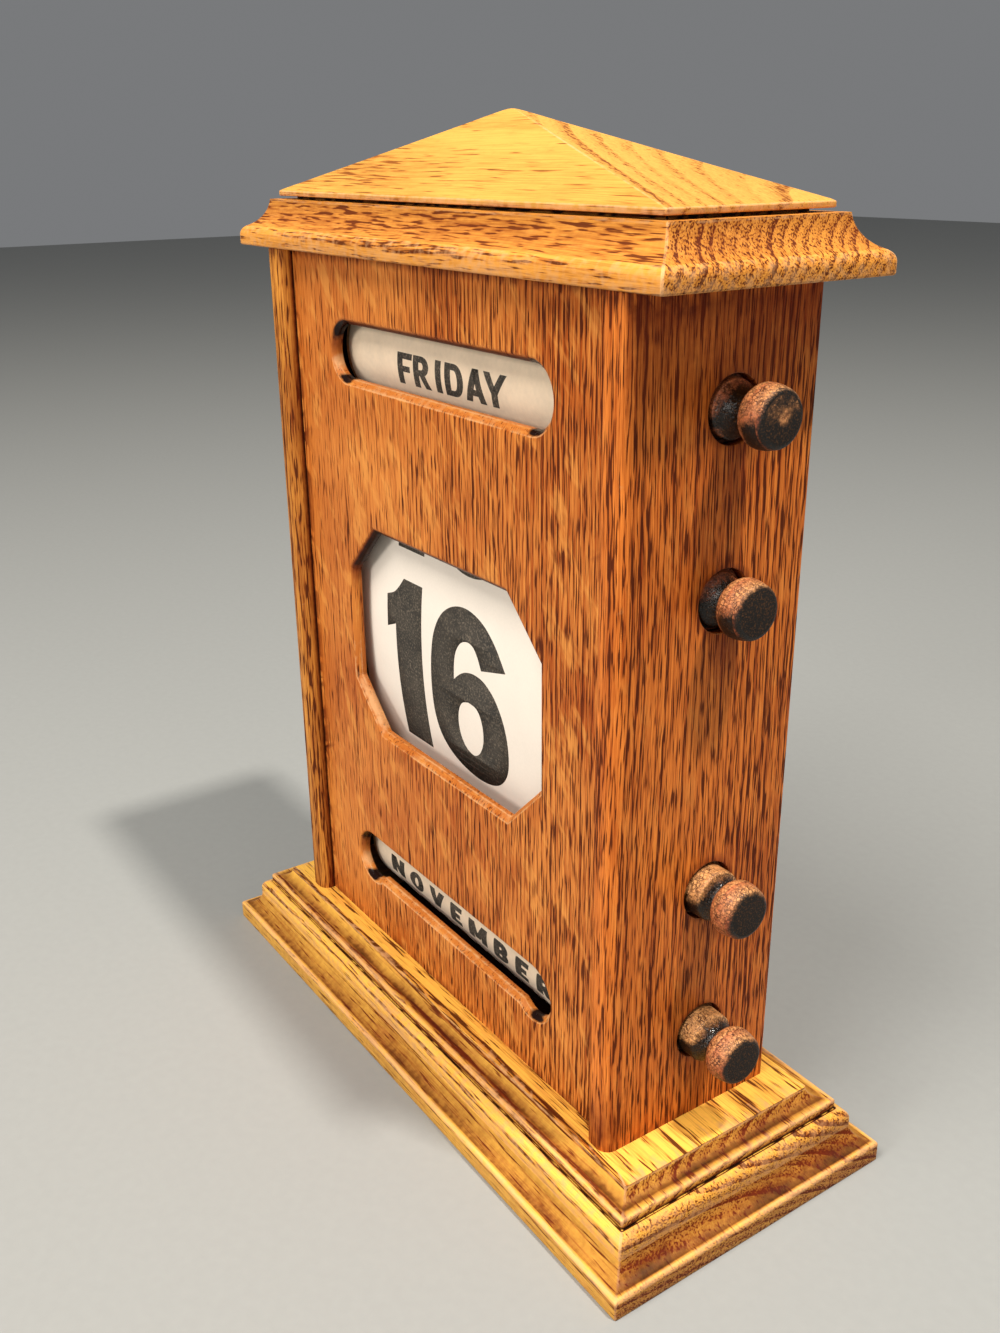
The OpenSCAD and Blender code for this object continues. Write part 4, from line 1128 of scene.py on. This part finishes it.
class CALENDAR_OT_sides(bpy.types.Operator):
    """Makes the two side boards, the right one with its four knob holes"""
    bl_idname = "calendar.sides"
    bl_label = "Side boards"

    def execute(self, context):
        sizes = context.scene.calendar_sizes
        holes = [sum(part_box(reel + "_spindle"), Vector()).z / 2
                 for reel in ("month", "lower", "upper", "day")]
        for node, mirror, tint, pith, dense, shift in (
                ("side_left", True, "tawny", 30, -0.04, 300),
                ("side_right", False, "russet", 55, 0.0, 0)):
            low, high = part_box(node)
            board = surface(node + "_board", side_patches(low, high, mirror, holes, sizes))
            material = oak("oak_" + node, tint, pith=(pith, -150), ring=2.2, dash_size=(0.42, 8),
                           flake=0.15, dense=dense, shift=shift)
            dress(board, material, "case", "oak_case", node)
        return {"FINISHED"}


class CALENDAR_OT_front(bpy.types.Operator):
    """Makes the front panel with its two slots and its window"""
    bl_idname = "calendar.front"
    bl_label = "Front panel"

    def execute(self, context):
        sizes = context.scene.calendar_sizes
        low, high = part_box("front_panel")
        heights = [sum(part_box(node), Vector()).z / 2
                   for node in ("month_drum", "date_strip", "day_drum")]
        panel = surface("front_panel_board", panel_patches(low, high, heights, sizes))
        material = oak("oak_front_panel", "amber", pith=(-160, -22), tone=0.66)
        dress(panel, material, "case", "oak_case", "front_panel")
        return {"FINISHED"}


class CALENDAR_OT_back(bpy.types.Operator):
    """Finishes the back panel, the glue blocks and the screws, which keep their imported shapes"""
    bl_idname = "calendar.back"
    bl_label = "Back and screws"

    def execute(self, context):
        panel = oak("oak_back_panel", "russet", pith=(20, 190), ring=3.4, flake=0.2, shift=77)
        for material, *nodes in ((panel, "back_panel"),
                                 (bare_wood("bare_wood_blocks", "y"), "corner_blocks_lower",
                                  "corner_blocks_upper"),
                                 (aged_brass("aged_brass"), "back_screws", "plinth_screws")):
            for node in nodes:
                coat(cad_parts[node], material)
        return {"FINISHED"}


class CALENDAR_OT_cornice(bpy.types.Operator):
    """Makes the moulded cornice board"""
    bl_idname = "calendar.cornice"
    bl_label = "Cornice"

    def execute(self, context):
        sizes = context.scene.calendar_sizes
        low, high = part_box("cornice_board")
        profile = cornice_profile(high.z - low.z)
        board = surface("cornice_moulding", moulded(low, high, profile, sizes.mitre_r, 31, 0))
        material = oak("oak_cornice", "tawny", grain="x", pith=(-190, 75), ring=2.6, tone=0.25, dash=0.8,
                       dash_size=(0.42, 8), dense=-0.03, band=0.22, reach=105, thirst=0.45, shift=500)
        dress(board, material, "case", "oak_mouldings", "cornice_board")
        return {"FINISHED"}


class CALENDAR_OT_roof(bpy.types.Operator):
    """Makes the hipped roof board"""
    bl_idname = "calendar.roof"
    bl_label = "Roof"

    def execute(self, context):
        sizes = context.scene.calendar_sizes
        low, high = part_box("roof_cap")
        roof = surface("roof_board", hipped_roof(low, high, sizes.mitre_r), sharp=25)
        material = oak("oak_roof", "honey", grain="x", pith=(-205, 30), ring=3.0, tone=0.3, dash=0.5,
                       dash_size=(0.42, 12), dense=-0.12, band=0.28, reach=75, flake=0.3, thirst=0.4,
                       shift=900)
        dress(roof, material, "case", "oak_mouldings", "roof_cap")
        return {"FINISHED"}


class CALENDAR_OT_drums(bpy.types.Operator):
    """Makes the linen bands with the printed days and months, and finishes their drums"""
    bl_idname = "calendar.drums"
    bl_label = "Day and month drums"

    def execute(self, context):
        sizes = context.scene.calendar_sizes
        ink = printing_ink("printing_ink_on_linen")
        wood = bare_wood("bare_wood_drums", "x")
        day = dict(names=DAYS, shown=5, height=sizes.day_letter, stretch=1.36, gap=1.4 * MM,
                   lean=0.11, shift=-1.2 * MM, bold=0.0)
        month = dict(names=MONTHS, shown=10, height=sizes.month_letter, stretch=1.42, gap=4.5 * MM,
                     lean=0.2, shift=0.0, bold=0.035)
        cloth, soft = 0.25 * MM, 0.05 * MM
        for reel, style in (("day", day), ("month", month)):
            node = reel + "_band"
            low, high, centre, radius = reel_box(node)
            section = [(low.x, radius - cloth), (low.x, radius - soft), (low.x + soft, radius),
                       (0, radius), (high.x - soft, radius), (high.x, radius - soft),
                       (high.x, radius - cloth), (low.x, radius - cloth)]
            band = surface(node + "_cloth", [(turned(section, centre, 144), {})])
            dress(band, linen_cloth("linen_" + reel, node), reel + "_reel", "linen", node)
            names = surface(reel + "_names", drum_print(node, ink=sizes.ink, **style))
            dress(names, ink, reel + "_reel", "linen")
            coat(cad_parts[reel + "_drum"], wood)
        return {"FINISHED"}


class CALENDAR_OT_strip(bpy.types.Operator):
    """Makes the bowed number strip, its print, and what is wound on its rollers"""
    bl_idname = "calendar.strip"
    bl_label = "Number strip"

    def execute(self, context):
        sizes = context.scene.calendar_sizes
        paper = aged_paper("aged_paper")
        bow = strip_bow("date_strip")
        low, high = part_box("date_strip")
        across = np.linspace(low.x, high.x, 57)
        angle = np.linspace(-bow["angle"], bow["angle"], 61)[:, None]
        faces = [wrapped(across, radius, angle, bow["centre"])
                 for radius in (bow["radius"], bow["radius"] - STRIP_THICKNESS)]
        dress(surface("number_strip", slab(*faces)), paper, "case", "paper", "date_strip")
        pitch = sizes.number_pitch
        numerals = [([ONE], 0.0), ([SIX, SIX_EYE], 0.0), ([ONE], pitch), ([FIVE_BOWL], pitch)]
        dress(printed("numerals", numerals, bow, sizes.ink), printing_ink("printing_ink_on_paper"),
              "case", "paper")
        wood = bare_wood("bare_wood_rollers", "x")
        wound = 1.2 * MM
        for reel in ("upper", "lower"):
            node = reel + "_roll"
            low, high, centre, radius = reel_box(node)
            section = [(low.x, radius - wound), (low.x, radius), (0, radius), (high.x, radius),
                       (high.x, radius - wound), (low.x, radius - wound)]
            roll = surface(node + "_paper", [(turned(section, centre, 120), {})])
            dress(roll, paper, reel + "_reel", "paper", node)
            coat(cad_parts[reel + "_roller"], wood)
        return {"FINISHED"}


class CALENDAR_OT_knobs(bpy.types.Operator):
    """Makes the four turned spindles with their knobs"""
    bl_idname = "calendar.knobs"
    bl_label = "Knobs"

    def execute(self, context):
        sizes = context.scene.calendar_sizes
        material = turned_polish("turned_polished_hardwood")
        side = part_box("side_right")[1].x
        # polish holds each knob's barrel gold, the painted shade on the lower sides of its barrel and
        # head, and the chip in its face
        for reel, barrel_out, *polish in (("day", 0.2, 0.15, 0.6, 0.95, 0.9),
                                          ("upper", -1.1, 0.1, 1.0, 1.15, 0.0),
                                          ("lower", 4.0, 0.8, 0.8, 0.35, 0.0),
                                          ("month", 4.6, 0.9, 0.9, 0.4, 0.0)):
            node = reel + "_spindle"
            low, high, centre, _ = reel_box(node)
            runs = spindle_runs(low.x, high.x, side + barrel_out * MM, side, sizes)
            grid = turned(np.concatenate([run for _, run in runs]), centre, 120)
            paint = knob_paint(runs, grid, centre, *polish)
            spindle = surface(node + "_turned", [(grid, paint)], sharp=40)
            dress(spindle, material, reel + "_reel", "turned_wood", node)
        return {"FINISHED"}


def spindle_runs(left, face, barrel_end, side, sizes):
    """A spindle as named runs of (place along X, radius), from its left end to the middle of its
    knob's face. A cove narrows from the barrel to the neck by a power of the distance, the knob
    swells from there by another, draws in by a square and ends in a round rim and a low dome."""
    shaft_r, journal_r = 6 * MM, sizes.hole_d / 2 - 0.07 * MM
    barrel_r, neck_r, knob_r = sizes.barrel_d / 2, sizes.neck_d / 2, sizes.knob_d / 2
    soft, dome, rim_r = 0.6 * MM, 0.4 * MM, sizes.rim_r
    hub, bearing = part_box("day_drum")[1].x, side - 3.3 * MM
    start, wide, shoulder = face - sizes.knob_l, 0.45 * sizes.knob_l, knob_r - 0.5 * MM
    rim_start = face - dome - rim_r
    share = np.linspace(0, 1, 14)
    shaft = np.array([(left, 0), (left, shaft_r - soft), (left + soft, shaft_r), (hub, shaft_r),
                      (hub, journal_r), (bearing, journal_r)])
    barrel = np.array([(bearing, barrel_r), (bearing + 0.4 * (barrel_end - bearing), barrel_r),
                       (barrel_end - 2 * soft, barrel_r),
                       (barrel_end - 0.8 * soft, barrel_r - 0.1 * soft),
                       (barrel_end - 0.3 * soft, barrel_r - 0.35 * soft)])
    cove = points(barrel_end + (start - barrel_end) * share,
                  neck_r + (barrel_r - 0.7 * soft - neck_r) * (1 - share) ** 1.9)
    head = points(start + wide * share, knob_r - (knob_r - neck_r - 0.2 * MM) * (1 - share) ** 2.4)
    tail = points(start + wide + (rim_start - start - wide) * share[1:],
                  knob_r - (knob_r - shoulder) * share[1:] ** 2)
    rim = arc((rim_start, shoulder - rim_r), rim_r, 82, 8, 9)
    disc_r = (shoulder - rim_r) * np.linspace(1, 0, 9)
    disc = points(face - dome * (disc_r / disc_r[0]) ** 2, disc_r)
    return (("shaft", shaft), ("barrel", barrel), ("cove", cove), ("head", head), ("tail", tail),
            ("rim", rim), ("disc", disc))


def knob_paint(runs, grid, centre, barrel_gold, barrel_shade, head_shade, chip):
    """The polish of a spindle: black in its cove and on its face; as far as the knob's own values say,
    painted shade as black on the lower side of its barrel, cove, head, rim and face; redder at the
    sides, with a painted highlight that makes the upper side of the head and rim more golden. chip
    bares the middle of the face."""
    names = np.concatenate([[name] * len(run) for name, run in runs])
    share = np.concatenate([np.linspace(0, 1, len(run)) for _, run in runs])[:, None]
    shaft, barrel, cove, head, tail, rim, disc = ((names == name)[:, None] for name, _ in runs)
    turn = np.arctan2(grid[..., 2] - centre[1], centre[0] - grid[..., 1])
    # Painted shade as black on the lower side, and a painted highlight as gold on the upper side
    below, above = unit(0.75 - 1.4 * np.sin(turn + 0.1)), unit(np.sin(turn))
    black = (shaft * 0.2 + barrel * (0.1 + barrel_shade * below)
             + cove * (0.45 + 0.6 * share + 0.4 * barrel_shade * below)
             + head * (0.75 * (1 - share) ** 3 + 0.8 * head_shade * below * share ** 2)
             + tail * (0.8 * head_shade * below + 0.15 * share)
             + rim * (0.25 + 0.55 * share + 0.3 * head_shade * below)
             + disc * (0.9 - chip * (0.8 * share ** 4 + 0.28 * (1 - below))))
    # The upper side's gold on the head and rim is painted highlight
    gold = (barrel * barrel_gold + cove * barrel_gold * (1 - share) + disc * chip * 0.7
            + (head + tail) * (0.2 + 0.5 * above * share) + rim * 0.8 * above)
    wear_and_highlight = shaft * 0.5 + barrel * 0.3 + head * 0.35 * share + tail * 0.35 + rim * 0.5 + disc * 0.9
    uneven = ripple(grid, 9 * MM, 40 + round(10 * barrel_gold))
    return {"black": unit(black * (0.8 + 0.4 * uneven)), "gold": unit(gold), "wear_and_highlight": unit(wear_and_highlight),
            "plain": disc}


# Each lamp's direction from the calendar's middle, its distance, size, power and colour
LAMPS = {"key_light": ((0.39, 0.11, 1.0), 1.6, 0.1, 26, (1.0, 0.95, 0.88)),
         "front_light": ((0.14, -1.0, 0.36), 1.7, 0.45, 11, (1.0, 0.96, 0.9)),
         "upper_light": ((0.1, -0.62, 1.0), 1.7, 0.8, 25, (1.0, 0.96, 0.9)),
         "side_light": ((1.0, -0.1, 0.45), 1.7, 0.6, 2.2, (1.0, 0.97, 0.93))}
# The camera's place and what it looks at in mm, its roll in degrees, and its focal length and sensor
CAMERA_PLACE, CAMERA_TARGET, CAMERA_ROLL = (291.9, -202.7, 271.35), (21.17, -18.85, 139.09), -0.659
CAMERA_LENS, CAMERA_SENSOR = 34.74, 36
FLOOR_HALF = 4.0  # half the floor's width in metres


class CALENDAR_OT_stage(bpy.types.Operator):
    """Makes the pale floor, the soft studio lights and the camera"""
    bl_idname = "calendar.stage"
    bl_label = "Stage"

    def execute(self, context):
        scene = context.scene
        mesh = bpy.data.meshes.new("floor")
        corners = [(x, y, 0) for x, y in ((-1, -1), (1, -1), (1, 1), (-1, 1))]
        mesh.from_pydata(np.array(corners) * FLOOR_HALF, [], [[0, 1, 2, 3]])
        mesh.materials.append(studio_floor("studio_floor"))
        placed("floor", mesh)
        scene.world = bpy.data.worlds.new("studio")
        scene.world.use_nodes = True
        feed(scene.world.node_tree.nodes["Background"], Color=(0.95, 0.97, 1.0, 1), Strength=0.2)
        middle = Vector((0, 0, 0.14))
        for name, (direction, distance, size, power, tint) in LAMPS.items():
            lamp = bpy.data.lights.new(name, "AREA")
            lamp.size, lamp.energy, lamp.color = size, power, tint
            placed(name, lamp, aimed(middle + Vector(direction).normalized() * distance, middle))
        lens = bpy.data.cameras.new("camera")
        lens.sensor_fit = "VERTICAL"
        lens.sensor_height, lens.lens, lens.clip_start = CAMERA_SENSOR, CAMERA_LENS, 0.01
        view = aimed(Vector(CAMERA_PLACE) * MM, Vector(CAMERA_TARGET) * MM, math.radians(CAMERA_ROLL))
        scene.camera = placed("camera", lens, view)
        scene.view_settings.view_transform = "Standard"
        return {"FINISHED"}


def aimed(place, target, roll=0.0):
    """The matrix of a lamp or camera at a place that looks at a target, turned about its view."""
    back = (place - target).normalized()
    right = Vector((0, 0, 1)).cross(back).normalized()
    matrix = Matrix((right, back.cross(right), back)).transposed().to_4x4()
    matrix = matrix @ Matrix.Rotation(roll, 4, "Z")
    matrix.translation = place
    return matrix


class CALENDAR_PT_panel(bpy.types.Panel):
    """Lists the calendar's pieces in the 3D view's sidebar"""
    bl_label = "Perpetual desk calendar"
    bl_idname = "CALENDAR_PT_panel"
    bl_space_type = "VIEW_3D"
    bl_region_type = "UI"
    bl_category = "Calendar"

    def draw(self, context):
        for operator in OPERATORS:
            self.layout.operator(operator.bl_idname)
        for group in (context.scene.calendar_sizes, context.scene.calendar_colours):
            box = self.layout.box()
            for key in group.bl_rna.properties.keys():
                if key not in ("rna_type", "name"):
                    box.prop(group, key)


OPERATORS = (CALENDAR_OT_plinth, CALENDAR_OT_sides, CALENDAR_OT_front, CALENDAR_OT_back,
             CALENDAR_OT_cornice, CALENDAR_OT_roof, CALENDAR_OT_drums, CALENDAR_OT_strip,
             CALENDAR_OT_knobs, CALENDAR_OT_stage)
CLASSES = (CalendarSizes, CalendarColours) + OPERATORS + (CALENDAR_PT_panel,)


def register():
    for item in CLASSES:
        bpy.utils.register_class(item)
    bpy.types.Scene.calendar_sizes = bpy.props.PointerProperty(type=CalendarSizes)
    bpy.types.Scene.calendar_colours = bpy.props.PointerProperty(type=CalendarColours)


def unregister():
    del bpy.types.Scene.calendar_colours
    del bpy.types.Scene.calendar_sizes
    for item in reversed(CLASSES):
        bpy.utils.unregister_class(item)


def main():
    register()
    for operator in OPERATORS:
        group, name = operator.bl_idname.split(".")
        getattr(getattr(bpy.ops, group), name)()


if __name__ == "__main__":
    main()
